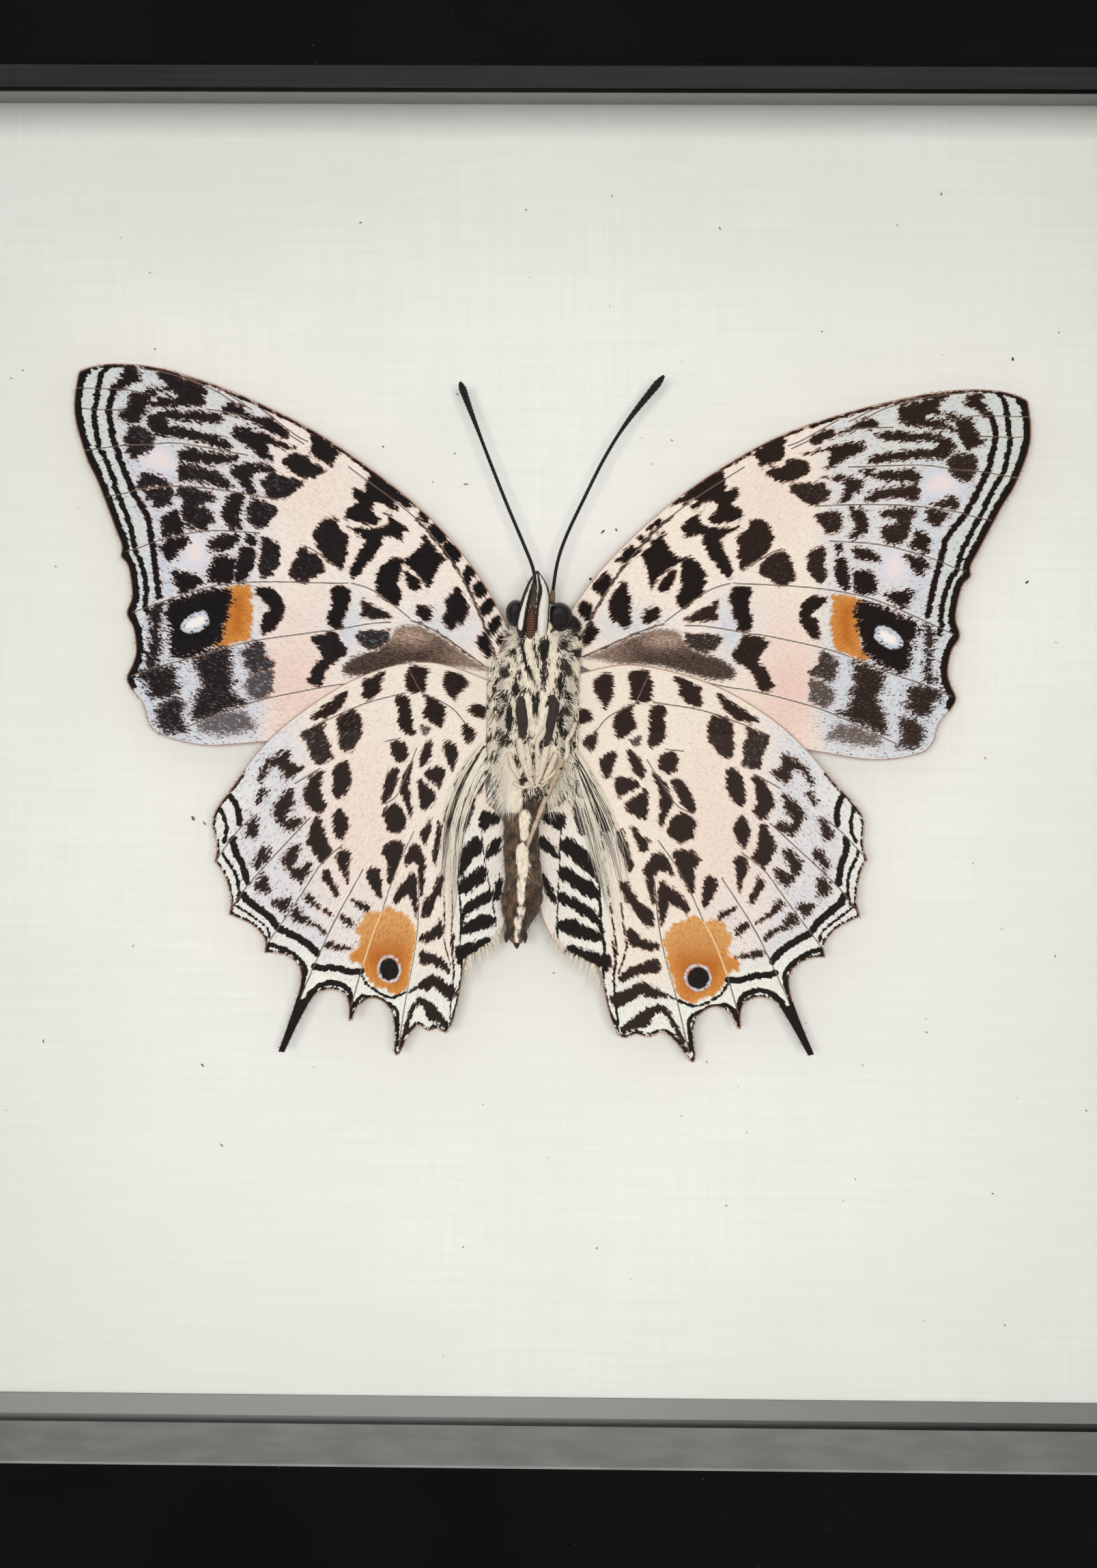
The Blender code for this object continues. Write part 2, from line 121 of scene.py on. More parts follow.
def sums(kind, first, second):
    """Two values put together, as kind says."""
    return step_of("ShaderNodeMath", {0: first, 1: second}, operation=kind).outputs[0]


def times(first, second):
    """One value times another."""
    return sums("MULTIPLY", first, second)


def blend_of(share, low, high):
    """Colour low turning to colour high."""
    return step_of("ShaderNodeMix", {0: share, 6: low, 7: high}, data_type="RGBA").outputs[2]


def relief(height, distance_mm, strength=1.0):
    """Bump of a real height in millimetres."""
    made = step_of("ShaderNodeBump", {"Height": height, "Distance": distance_mm * MM,
                                      "Strength": strength})
    into("Normal", made.outputs[0])


def specks(vector, scale, share, size):
    """Small round specks in some of the cells of a random layout."""
    cells = step_of("ShaderNodeTexVoronoi", {"Vector": vector, "Scale": scale})
    chosen = ease(cells.outputs["Color"], 1.0 - share, 1.0 - share + 0.02)
    inside = ease(cells.outputs["Distance"], size, size * 0.5)
    return times(chosen, inside)


def dress(node, finish):
    """Give a CAD node its finish."""
    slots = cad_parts[node].material_slots
    for one in slots:
        one.material = finish
    if not slots:
        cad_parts[node].data.materials.append(finish)


def rail_finish(name, stretch):
    """Satin black lacquer over fine grain that runs along the rail, with settled dust, and a painted pale
    reflection on the faces that look up.
    """
    finish = new_finish(name, 0.3)
    where = millimetres()
    grain = mottle(millimetres(stretch), 1.0, 4.0, 0.6)
    peel = mottle(where, 2.2, 3.0, 0.55)
    cloud = mottle(where, 0.06, 3.0)
    colour = blend_of(ease(cloud, 0.3, 0.7), paint(12, 12, 13), paint(17, 16, 16))
    facing = step_of("ShaderNodeNewGeometry", {}).outputs["Normal"]
    split = step_of("ShaderNodeSeparateXYZ", {0: facing})
    upward = ease(split.outputs["Z"], 0.6, 0.9)
    fine = specks(where, 1.7, 0.30, 0.09)
    coarse = specks(where, 0.7, 0.18, 0.075)
    dust = sums("MAXIMUM", fine, coarse)
    settled = times(dust, ease(upward, 0.0, 1.0, 0.12, 0.9))
    # Painted reflection: faces that look up are painted pale grey for the light from above and the white
    # board they reflect.
    upward_painted_sheen = times(upward, ease(mottle(where, 0.25, 4.0), 0.3, 0.8, 0.62, 0.8))
    colour = blend_of(upward_painted_sheen, colour, paint(190, 188, 184))
    colour = blend_of(settled, colour, paint(205, 203, 200))
    coat(colour)
    rough = ease(sums("ADD", times(grain, 0.6), times(cloud, 0.4)), 0.3, 0.7, 0.5, 0.62)
    into("Roughness", sums("ADD", rough, times(dust, 0.3)))
    into("Specular IOR Level", 0.04)
    height = sums("ADD", times(grain, 0.6), times(peel, 0.4))
    relief(height, 0.012)
    return finish


level_black = rail_finish("satin_black_level_rail", (0.05, 1.5, 1.5))
upright_black = rail_finish("satin_black_upright_rail", (1.5, 1.5, 0.05))
dress("rail_top", level_black)
dress("rail_bottom", level_black)
dress("rail_left", upright_black)
dress("rail_right", upright_black)

# ---- Glass -----------------------------------------------
# A square of thin clear float glass, cut a little smaller than the rebate and dropped in
# behind the lip.
glass = new_finish("clear_float_glass", 0.0, (0.985, 0.985, 0.98, 1.0))
into("Transmission Weight", 1.0)
into("IOR", 1.2)
into("Specular IOR Level", 0.04)
light_path = step_of("ShaderNodeLightPath", {})
let_through = step_of("ShaderNodeBsdfTransparent", {"Color": (0.985, 0.985, 0.98, 1.0)})
pane_mix = step_of("ShaderNodeMixShader",
                   {0: light_path.outputs["Is Shadow Ray"], 1: shader.outputs[0],
                    2: let_through.outputs[0]})
tree.links.new(pane_mix.outputs[0], tree.nodes["Material Output"].inputs["Surface"])
dress("glass_pane", glass)

# ---- Spacers ---------------------------------------------
# Four plain strips of grey-black satin plastic that hold the glass off the mount board, so
# that the body has room.  The faces that look at the opening show as a thin band.
spacer = new_finish("satin_spacer_plastic", 0.22)
spacer_where = millimetres()
spacer_streak = mottle(millimetres((0.06, 2.0, 2.0)), 1.0, 3.0)
spacer_cloud = mottle(spacer_where, 0.12, 2.0)
spacer_dust = specks(spacer_where, 1.2, 0.2, 0.08)
# Painted reflection: the grey-black plastic is painted mid grey, partly for the white board it reflects.
spacer_base = blend_of(spacer_cloud, paint(122, 121, 120), paint(136, 134, 132))
spacer_side = step_of("ShaderNodeSeparateXYZ", {0: spacer_where})
# Painted shade: darker towards the right, and darker still towards the top.
spacer_base = blend_of(ease(spacer_side.outputs["X"], -5.0, 45.0, 0.0, 0.85),
                       spacer_base, paint(58, 54, 50))
spacer_base = blend_of(ease(spacer_side.outputs["Z"], 40.0, 60.0, 0.0, 0.8),
                       spacer_base, paint(40, 38, 36))
spacer_base = blend_of(times(spacer_dust, 0.5), spacer_base, paint(205, 203, 200))
coat(spacer_base)
relief(spacer_streak, 0.006)
for node in ("spacer_bottom", "spacer_top", "spacer_left", "spacer_right"):
    dress(node, spacer)

# ---- Mount board -----------------------------------------
# White card with a pressed linen face: fine threads both ways, the level ones stronger.  It
# lies behind the spacers, and the specimen's pad is glued to it.
card = new_finish("linen_pressed_card", 0.62)
level_thread = mottle(millimetres((0.12, 1.0, 3.4)), 1.0, 3.0, 0.6)
upright_thread = mottle(millimetres((3.6, 1.0, 0.14)), 1.0, 3.0, 0.6)
patchy = mottle(millimetres(), 0.035, 2.0)
crossed = times(upright_thread, ease(patchy, 0.35, 0.65, 0.25, 0.8))
threads = sums("ADD", times(level_thread, 0.75), crossed)
card_colour = blend_of(ease(threads, 0.35, 1.05), paint(229, 228, 222), paint(236, 235, 230))
fleck = specks(millimetres(), 0.45, 0.10, 0.045)
card_colour = blend_of(times(fleck, 0.5), card_colour, paint(170, 165, 158))
coat(card_colour)
into("Specular IOR Level", 0.04)
relief(threads, 0.016)
dress("mount_board", card)

# ---- Debris on the board ---------------------------------
# Scales and tiny chips that have come off the insect and lie against the card behind the
# glass.  They are loose flakes, a tenth or two of a millimetre across.
CARD_FACE = 20.2
DARK_CHIPS = [(4.1, 14.25, 0.2), (5.05, 17.95, 0.16), (6.1, 18.1, 0.18), (-5.7, 21.6, 0.16),
              (-6.4, 28.6, 0.14), (38.3, 14.2, 0.16), (10.4, 25.1, 0.12), (-27.2, -4.8, 0.26),
              (-26.3, -5.2, 0.14), (-12.2, 24.5, 0.12), (36.9, 31.5, 0.2), (-38, 15, 0.13),
              (-32, -15, 0.12), (-26.5, -24.5, 0.14), (-25, -30.9, 0.16)]
chance = np.random.default_rng(41)
chips = bmesh.new()
chip_places = list(DARK_CHIPS)
for _ in range(95):
    chip_places.append((chance.uniform(-48, 48), chance.uniform(-48, 46), chance.uniform(0.05, 0.13)))
for u, v, size in chip_places:
    turn = chance.uniform(0, math.pi)
    length = size * chance.uniform(0.7, 1.5)
    ring = []
    for side in range(6):
        angle = 2 * math.pi * side / 6
        along = length * math.cos(angle) * chance.uniform(0.7, 1.1)
        across = size * 0.55 * math.sin(angle) * chance.uniform(0.7, 1.1)
        ring.append((u + along * math.cos(turn) - across * math.sin(turn),
                     v + along * math.sin(turn) + across * math.cos(turn)))
    lift = CARD_FACE - chance.uniform(0.03, 0.07)
    front = [chips.verts.new(spot(a, b, lift)) for a, b in ring]
    back = [chips.verts.new(spot(a, b, CARD_FACE)) for a, b in ring]
    chips.faces.new(front)
    chips.faces.new(back[::-1])
    for side in range(6):
        after = (side + 1) % 6
        chips.faces.new((front[side], back[side], back[after], front[after]))
bmesh.ops.recalc_face_normals(chips, faces=chips.faces)
chip_mesh = bpy.data.meshes.new("loose_scales")
chips.to_mesh(chip_mesh)
chips.free()
chip_finish = new_finish("loose_scale_brown", 0.8)
chip_tone = mottle(millimetres(), 0.9, 2.0)
coat(blend_of(ease(chip_tone, 0.35, 0.6), paint(55, 50, 46), paint(150, 142, 130)))
chip_mesh.materials.append(chip_finish)
loose_scales = bpy.data.objects.new("loose_scales", chip_mesh)
bpy.context.scene.collection.objects.link(loose_scales)
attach(loose_scales, "root")

# ---- Back panel ------------------------------------------
# Thin hardboard that closes the back: smooth brown face with flecks of darker fibre.
hard = new_finish("brown_hardboard", 0.62)
hard_where = millimetres()
fibre = mottle(millimetres((1.0, 1.0, 2.6)), 1.1, 5.0, 0.7)
pulp = mottle(hard_where, 0.09, 3.0)
hard_colour = blend_of(ease(fibre, 0.3, 0.72), paint(92, 62, 40), paint(134, 97, 66))
hard_colour = blend_of(ease(pulp, 0.35, 0.7, 0.0, 0.35), hard_colour, paint(74, 50, 34))
coat(hard_colour)
relief(fibre, 0.03)
dress("back_panel", hard)

# ---- Flex tabs -------------------------------------------
# Flat spring-steel points pushed into slots in the rails; bent down, they press the panel,
# the board, the spacers and the glass against the lip.
steel = new_finish("bare_spring_steel", 0.3)
into("Metallic", 1.0)
brushed = mottle(millimetres((0.4, 1.0, 5.0)), 1.5, 4.0)
tarnish = mottle(millimetres(), 0.35, 3.0)
coat(blend_of(ease(tarnish, 0.4, 0.7), paint(176, 176, 178), paint(126, 124, 122)))
into("Roughness", ease(brushed, 0.3, 0.7, 0.25, 0.45))
relief(brushed, 0.008)
for number in range(1, 9):
    dress(f"tab_{number}", steel)

# ---- Hanger and brads ------------------------------------
# A pressed sawtooth hanger in brass-plated steel, nailed to the top rail with two brads.
brass = new_finish("brass_plated_steel", 0.28)
into("Metallic", 1.0)
scuff = mottle(millimetres(), 1.2, 5.0, 0.65)
age = mottle(millimetres(), 0.25, 3.0)
coat(blend_of(ease(age, 0.4, 0.75), paint(206, 170, 96), paint(150, 118, 66)))
into("Roughness", ease(scuff, 0.35, 0.75, 0.2, 0.5))
relief(scuff, 0.01)
for node in ("sawtooth_hanger", "hanger_brad_left", "hanger_brad_right"):
    dress(node, brass)

# ---- Specimen pad ----------------------------------------
# A small round of off-white foam, glued to the board and to the thorax, that carries the
# whole insect.
foam = new_finish("off_white_foam", 0.9)
foam_cells = step_of("ShaderNodeTexVoronoi", {"Vector": millimetres(), "Scale": 5.0})
coat(blend_of(ease(foam_cells.outputs["Distance"], 0.1, 0.6), paint(196, 190, 176),
              paint(224, 219, 207)))
relief(foam_cells.outputs["Distance"], 0.06)
dress("specimen_pad", foam)

# ---- Forewings -------------------------------------------
# Two dry membranes covered with rows of tiny scales: cream and pink ground, near-black and
# brown marks, an orange patch and a white-centred spot.  They are spread level behind the
# hindwings and hold to the thorax at their roots.
FOREWING_FRONT = 17.75
SHEET_THICKNESS = 0.3
MESH_STEP = 0.125
RIGHT_FOREWING = [
    (3.15, 7.6, 1), (3.05, 9.4), (2.6, 11.8, 1), (4.5, 14.5), (7, 17.2), (10, 19.9), (14, 22.8),
    (19, 25.55), (25, 27.55), (31, 28.85), (35, 29), (37.4, 28.4), (37.9, 27.6), (38.05, 24.9),
    (37, 21.8), (35.9, 19.9), (34.2, 16.6), (33.6, 15.4), (33.6, 14.6), (32.95, 13.8), (32.5, 11.5),
    (32.85, 10), (32.25, 8.9), (31.95, 7.3), (32.2, 6.2), (32.62, 5.2), (32.3, 4.4), (31.3, 3.2),
    (30.8, 1.6), (29.6, 0.75), (26.5, 0.3), (23, 0.75), (19.5, 1.5), (10, 4.4),
]
# The left wings are the right ones mirrored, then bent so that each first place comes to its
# second one.
FOREWING_MATCHES = [
    ((4.5, 14.5), (-3.75, 13.2)), ((7, 17.2), (-5.95, 16.3)), ((10, 19.9), (-8.85, 19.4)),
    ((2.6, 11.8), (-2.2, 10.3)), ((3.15, 7.6), (-3.3, 6.4)), ((6.5, 12.2), (-6.4, 12)),
    ((14.3, 22.9), (-13.05, 22.65)), ((18.8, 25.4), (-17.3, 25.5)), ((37.6, 28.2), (-35.5, 30.1)),
    ((38.05, 25), (-36.05, 26.9)), ((33.65, 14.9), (-32.5, 16.1)), ((32.85, 10), (-32.05, 11.4)),
    ((32.6, 5.2), (-32.05, 6.4)), ((30.6, 1.3), (-30.1, 2.4)), ((18.2, 5.7), (-17.7, 5.9)),
    ((15.2, 14), (-14.7, 13.85)), ((27.2, 9.95), (-26.6, 10.8)), ((22.5, 18.8), (-21.4, 19.2)),
    ((31, 21.5), (-29.3, 23)),
]
# Dark marks: how pale the mark is, from 0 near black to 1 faded brown, then its outline.
FOREWING_MARKS = [
    (0.05, (3.55, 9.3), (3.9, 9.05), (4.65, 9.9), (4.7, 10.4), (4.45, 10.6), (4.25, 11), (3.95, 10.9),
     (3.55, 9.9)),
    (0.1, (6.75, 14.15), (7.1, 13.1), (7.3, 12.8), (7.2, 11.9), (7.3, 10.9), (6.75, 10.4), (6.4, 10.6),
     (6.2, 11), (5.75, 11.1), (5.55, 12.4), (5.8, 13)),
    (0.1, (8, 16.3), (8.35, 15.6), (8.75, 13.7), (9, 13.7), (9.6, 14.5), (10.9, 15.5), (11.2, 15.3),
     (11.1, 14.3), (11.25, 13.8), (10.75, 12.8), (11.1, 12.1), (11.6, 12.1), (12.3, 12.7), (12.8, 13),
     (12.9, 13.6), (13.1, 14), (12.95, 14.4), (13.05, 14.8), (11.9, 16), (10.9, 15.95), (9.75, 17.4),
     (10, 17.8), (9.7, 18), (9.4, 17.7), (8.6, 16.8)),
    (0.1, (9.45, 13.9), (10.3, 14.8), (10.75, 15), (10.8, 14.6), (10.3, 13.5), (9.55, 13.25)),
    (0.15, (8.2, 11), (8.4, 11.9), (9.4, 12.05), (9.5, 11.3), (8.7, 10.85)),
    (0, (2.4, 10.35), (2.6, 11.2), (2.8, 11.35), (3.45, 10.5), (2.9, 10.1)),
    (0, (3.15, 11.7), (3.2, 12.2), (3.6, 12.65), (3.8, 12.45), (4.1, 12.4), (4.35, 12), (4.1, 11.1),
     (3.7, 11.1)),
    (0, (4.25, 13.5), (4.7, 14.3), (5.4, 14.8), (5.75, 14), (5, 12.75), (4.85, 13.1)),
    (0, (6.05, 15.65), (6.4, 16), (6.7, 16.5), (7.1, 16.7), (7.3, 16.95), (7.6, 16.6), (7.85, 16.3),
     (7, 15.45), (6.5, 15.6)),
    (0, (7.75, 17.4), (8, 17.7), (8.6, 17.35), (8.4, 17.05), (8.1, 17.05)),
    (0, (8.4, 18.1), (9, 18.6), (9.15, 18.3), (8.7, 17.7), (8.75, 18)),
    (0, (9, 18.7), (9.3, 19.05), (9.6, 18.8), (9.6, 18.4), (9.3, 18.15)),
    (0.15, (11, 20.45), (12, 21.45), (14, 22.75), (14.35, 22.9), (14.3, 22.5), (14.5, 22.2), (14.6, 21.2),
     (15.35, 21.35), (15.55, 21), (15.4, 20.65), (15, 20.2), (15.7, 19.7), (15.95, 19.3), (15.7, 18.95),
     (14, 18.55), (13.2, 19), (13.85, 19.65), (13.6, 20.4), (12.1, 19.75), (11.9, 19.95), (12.3, 20.35),
     (12, 20.5), (11.5, 20.1), (11.1, 20.1)),
    (0.15, (11.1, 18.3), (11.5, 18.75), (12.9, 19.6), (12.55, 19.1), (12.6, 18.7), (13.5, 18.3),
     (15, 18.25), (15.7, 18.4), (14.3, 17.5), (14.2, 17.1), (15.15, 15.1), (14.9, 14.4), (14.3, 14.8),
     (13.8, 15.6), (13.4, 16), (12.9, 17), (12.8, 17.6), (12.4, 17.75), (11.5, 17.5), (11.2, 17.3),
     (11.5, 17.8)),
    (0.25, (16.4, 18.85), (17.5, 18.9), (18.2, 17.9), (18.35, 17.4), (17.5, 16.05), (16.4, 15.35),
     (15.9, 15), (15.7, 15.2), (15.65, 15.8), (15.5, 16.2), (15.6, 16.8), (15.4, 17.3), (15.6, 17.7),
     (16.4, 18.3)),
    (0.3, (19.2, 16.55), (19.5, 16), (20, 14.8), (19.95, 14.2), (19, 13.8), (18.5, 13.9), (18.1, 14.3),
     (17.2, 14.9), (17.6, 15.8), (18.8, 16.5)),
    (0.2, (16.6, 24), (18, 25.05), (18.8, 25.4), (19.2, 25.1), (19, 24.6), (19.1, 24), (18.7, 23.5),
     (17.5, 23), (17.3, 22.9), (17, 23.7)),
    (0.25, (17.7, 22.6), (18.8, 23.1), (19.4, 23.5), (20.2, 23.6), (20.8, 23.35), (21.1, 22.9),
     (20.8, 22.5), (19.6, 21.9), (18.5, 21.9), (18.2, 22.2)),
    (0.2, (21, 25.1), (22.2, 25.9), (22.9, 26), (23, 25.7), (23.9, 25.9), (24.9, 26.55), (25.6, 26.75),
     (26.2, 26.15), (24.8, 25.95), (23, 25.4), (21.4, 24.75)),
    (0.2, (20.3, 24), (21, 24.15), (23.2, 24.75), (24.8, 24.9), (25.2, 24.75), (25.1, 24.3), (24, 23.8),
     (23, 23.1), (22.1, 22.95), (22.5, 23.3), (22.5, 23.7), (22.7, 24.1), (22.2, 24.25), (21, 23.95)),
    (0.35, (19.5, 21.3), (19.8, 21.7), (21.2, 21.75), (22, 21.9), (22.3, 21.5), (22.65, 21.1),
     (22.1, 20.3), (21, 20.1)),
    (0.25, (21.9, 22.2), (23.8, 22.3), (24.9, 21.95), (25.2, 21.6), (24.4, 20.9), (24.1, 20.5),
     (23.2, 20.2), (23.5, 20.6), (23.7, 21.8)),
    (0.35, (21.6, 18.9), (21.7, 19.4), (23.3, 19.6), (23.6, 18.8), (23.2, 17.9), (22.3, 17.9),
     (22.1, 18.3)),
    (0.25, (24.2, 19.9), (24.7, 19.85), (25.1, 19.85), (25.65, 18.5), (25, 17.6), (24.2, 17.6),
     (24.6, 18.4), (24.4, 18.9)),
    (0.3, (22, 16.9), (22.3, 16.7), (22.25, 15.5), (22.45, 14.5), (21.9, 14), (21.05, 15), (20.95, 16),
     (21.2, 16.5)),
    (0.15, (23.1, 16.9), (23.5, 17), (23.6, 16.7), (23.3, 16.4), (23, 16.55)),
    (0.15, (23, 15.9), (23.9, 15.95), (24.3, 14.2), (24.15, 13.6), (23.8, 13.55), (23.1, 14.6),
     (23.1, 15.2)),
    (0.2, (24.4, 16.6), (24.6, 16.85), (25.9, 16.6), (26.5, 15.95), (26.3, 15.75), (25, 15.9)),
    (0.1, (24.5, 14.9), (25.9, 15), (26.35, 13.7), (26.2, 13.3), (25, 13.25), (24.6, 13.7)),
    (0.1, (27, 13), (27.5, 13.4), (29.2, 13.5), (28.8, 12.6), (28.4, 12.1)),
    (0.05, (24.8, 12.5), (25.5, 12.6), (27, 12.2), (28.1, 11.65), (29.4, 11.1), (29.55, 10), (29.2, 9.4),
     (28.9, 7.4), (27.8, 7.15), (25.5, 8.5), (25.2, 9.6), (24.8, 10.8), (25, 11.2), (24.6, 11.6)),
    (0.15, (21.3, 13), (22.4, 12.95), (22.4, 12.6), (21.3, 11.6), (21.8, 11), (22, 9.7), (21.3, 9.9),
     (20.35, 11.3), (20.6, 12.3)),
    (0.1, (15.4, 13.75), (16.6, 13.6), (16.55, 13), (16.5, 11.8), (16.75, 11.3), (16.55, 10.3),
     (15.4, 10.35), (15.6, 10.9), (15.3, 11.3), (14.95, 12.9)),
    (0.3, (11.3, 11.1), (13.4, 12.3), (14, 12.7), (14.1, 12.3), (13.9, 11.8), (14.1, 11.4), (13.9, 11.1),
     (13.3, 11.05)),
    (0.25, (15.9, 9.85), (16.5, 9.95), (18, 9.6), (18, 9.2), (17.6, 8.8), (17.2, 7.9), (17.6, 7.6),
     (18, 7.1), (18.2, 6.5), (18.5, 5.9), (17.5, 5.55), (17.2, 5.8), (16.9, 6.8), (16.1, 7.6),
     (15.1, 8.3), (15.7, 9.3)),
    (0.45, (11.5, 10.1), (12.2, 10.1), (13.9, 10), (14.4, 9.7), (13.9, 8.9), (12.8, 8.6), (11.6, 9.3),
     (11.6, 9.7)),
    (0.5, (22.2, 8.8), (23.4, 8), (23.3, 7.5), (23.3, 7), (23, 6.6), (22.5, 6.45), (21.1, 7.1),
     (21.8, 7.7)),
    (0.65, (21.2, 6.6), (21.7, 6.5), (22.3, 6.4), (23.1, 5.6), (22.9, 4.6), (22.3, 4.4), (21.2, 5),
     (21.3, 5.5)),
    (0.35, (24.5, 7.9), (25, 8), (26.9, 7.2), (26.9, 6.1), (26.5, 5.1), (27, 4), (27.1, 3.4), (27.3, 2.9),
     (27, 2.3), (25.9, 2.75), (23.8, 3.75), (23.3, 4), (23.9, 4.2), (24.6, 5.1), (24.3, 5.6), (24.7, 6.2),
     (24.5, 6.8), (24.7, 7.4)),
    (0.8, (22.6, 2), (23.5, 3.05), (25, 2.9), (26.4, 2.25), (26.8, 1.9), (26.5, 1.5), (24.6, 1.5),
     (23.2, 1.9)),
    (0.4, (28.4, 3.7), (29.5, 3.5), (30.15, 2.7), (29.9, 1.5), (29.4, 1.2), (28, 1.4), (28.3, 2),
     (28.4, 2.6), (28.2, 3.1)),
    (0.35, (28.9, 6), (30.3, 6.1), (31.6, 5.6), (30.9, 4.7), (30.7, 4.1), (30.2, 3.7), (29.5, 3.9),
     (28.5, 4.6), (28.9, 5)),
    (0.3, (30.1, 10.9), (31, 10.2), (30.7, 8.8), (30.8, 7.2), (31.1, 6.6), (30.7, 6.2), (30.2, 6.6),
     (30.1, 8), (30.2, 8.8)),
    (0.2, (29.2, 18), (29.8, 18.1), (30.5, 17.4), (30.3, 16.9), (30.3, 16.4), (29, 16.7), (28.9, 17.2),
     (29.2, 17.6)),
    (0.15, (28.4, 16.2), (29.7, 16.1), (30.2, 15.8), (30.3, 15.3), (29.6, 14.65), (28.7, 15.8)),
    (0.3, (26.5, 19.5), (27, 19.75), (28.6, 19.9), (29.3, 19.8), (29.4, 19.4), (28.9, 19.15),
     (28.9, 18.2), (28.3, 17.2), (27.1, 17.1), (26.8, 17.6), (26.5, 18), (26.8, 18.4), (27.9, 18.7),
     (27.6, 19), (27.1, 19.1)),
    (0.3, (30, 19.8), (30.6, 19.85), (31.9, 19.4), (31.3, 18.8), (31, 18.45), (30.1, 18.8), (30.2, 19.2)),
    (0.3, (30.5, 20.1), (31.8, 20.7), (32.4, 20.6), (32.6, 20.2), (32.4, 19.75), (31.1, 20)),
    (0.3, (25.3, 20.5), (26.3, 21.2), (28.6, 21.55), (29.3, 21.6), (29.5, 21.2), (29.4, 20.6),
     (28.9, 20.5), (28.3, 20.7), (26.9, 20.6), (26.2, 20.4)),
    (0.25, (25, 22.6), (25.6, 22.75), (26.3, 22.6), (27, 22.7), (27.8, 22.65), (28.6, 22.8), (29.2, 22.7),
     (29.5, 22.3), (29.2, 21.9), (27.9, 22.1), (27.1, 22)),
    (0.25, (25.5, 23.5), (26.3, 23.9), (29.2, 24.3), (30.2, 24.3), (30.8, 24.5), (30.6, 25.1),
     (27.4, 25.15), (26.2, 25.5), (27.6, 25.75), (29.3, 25.55), (30.2, 25.6), (31.6, 25.2), (32.2, 24.7),
     (31.5, 23.8), (30, 23.75), (27.4, 23.65), (25.9, 23.3)),
    (0.25, (27.9, 27.5), (29, 28), (29.6, 28), (30.9, 28.55), (31.5, 28.5), (30.7, 27.4), (32.4, 27),
     (31.3, 26.5), (32.3, 25.85), (31.6, 25.95), (28.6, 26.35), (28, 26.6), (28, 27)),
    (0.25, (32.3, 26.7), (33.5, 26.7), (33.6, 26.2), (34.1, 25.4), (34.4, 25), (33.4, 24.55), (33, 24.8),
     (32.4, 26.1)),
    (0.35, (31.9, 23.7), (33.3, 24.1), (33.9, 23.3), (33.3, 22), (32.3, 22.4), (31.9, 22.9)),
    (0.2, (33, 28), (33.6, 28.65), (34.1, 28.6), (34.4, 27.8), (35.1, 27.1), (34.8, 26.9), (33.6, 27.7)),
]
FOREWING_SMUDGE = [
    ((3.7, 8.1), (5, 8.8), (8, 10.1), (9.6, 10.45), (11, 10.25), (11.6, 9.4), (12.6, 8.7), (14.2, 8.2),
     (15.2, 7.6), (15.5, 7), (15.2, 6.5), (13.3, 6.5), (9.5, 7.5), (6.5, 7.6), (5, 7.9)),
]
# The short black bars along the left wing's front edge are not mirror images of the right ones.
LEFT_EDGE_BARS = [
    ((-9.2, 19.4), (-8.7, 19.1), (-8.6, 18.7), (-9.1, 18.9)),
    ((-8.4, 18.2), (-7.9, 18.3), (-7.1, 17.4), (-7.7, 17), (-8.3, 17.7)),
    ((-7.3, 16.8), (-6.8, 17), (-5.9, 16.2), (-6.5, 15.5), (-7.2, 16.2)),
    ((-5.8, 14.4), (-5.4, 15.1), (-4.8, 14.8), (-5.2, 14.3), (-5.4, 13.8)),
    ((-5, 13.5), (-4.5, 14), (-3.9, 13.4), (-4.5, 12.8)),
    ((-4.4, 12), (-3.6, 12.7), (-3.3, 12.2), (-4.1, 11.4)),
    ((-3.8, 10.5), (-3.1, 11.3), (-2.9, 10.8), (-3.5, 9.9)),
    ((-3.1, 9.4), (-2.8, 9.9), (-2.6, 9.6), (-2.8, 9.2)),
]
FOREWING_HOLES = [
    ((30, 27), (30.5, 27.1), (31.1, 27.1), (31.6, 26.95), (31.3, 26.65), (30.7, 26.7), (30.2, 26.8)),
]
FOREWING_ORANGE = [
    ((22.9, 13.1), (23.6, 13.15), (24.6, 13), (25.2, 12.7), (25.2, 12.3), (25.1, 11), (25.3, 9),
     (26.1, 8.3), (25.7, 8.1), (25, 8.15), (23.6, 8.75), (23, 9.1), (22.9, 10.3), (22.75, 10.9),
     (22.95, 12.6)),
]
FOREWING_PUPIL = [
    ((26.4, 10.6), (26.8, 10.75), (27.3, 10.6), (28.1, 10.05), (28.4, 9.25), (27.4, 9), (26.25, 9.8)),
]
FOREWING_LILAC = [
    ((29.6, 21.2), (30.1, 22.4), (31, 22.9), (32.2, 22.6), (32.8, 21.8), (32.4, 21), (31.2, 20.7),
     (30.2, 20.8)),
    ((26.6, 15), (26.8, 16.2), (27.6, 16.8), (28.5, 16.2), (28.8, 15.2), (28.3, 14.3), (27.4, 14.1),
     (26.8, 14.4)),
]
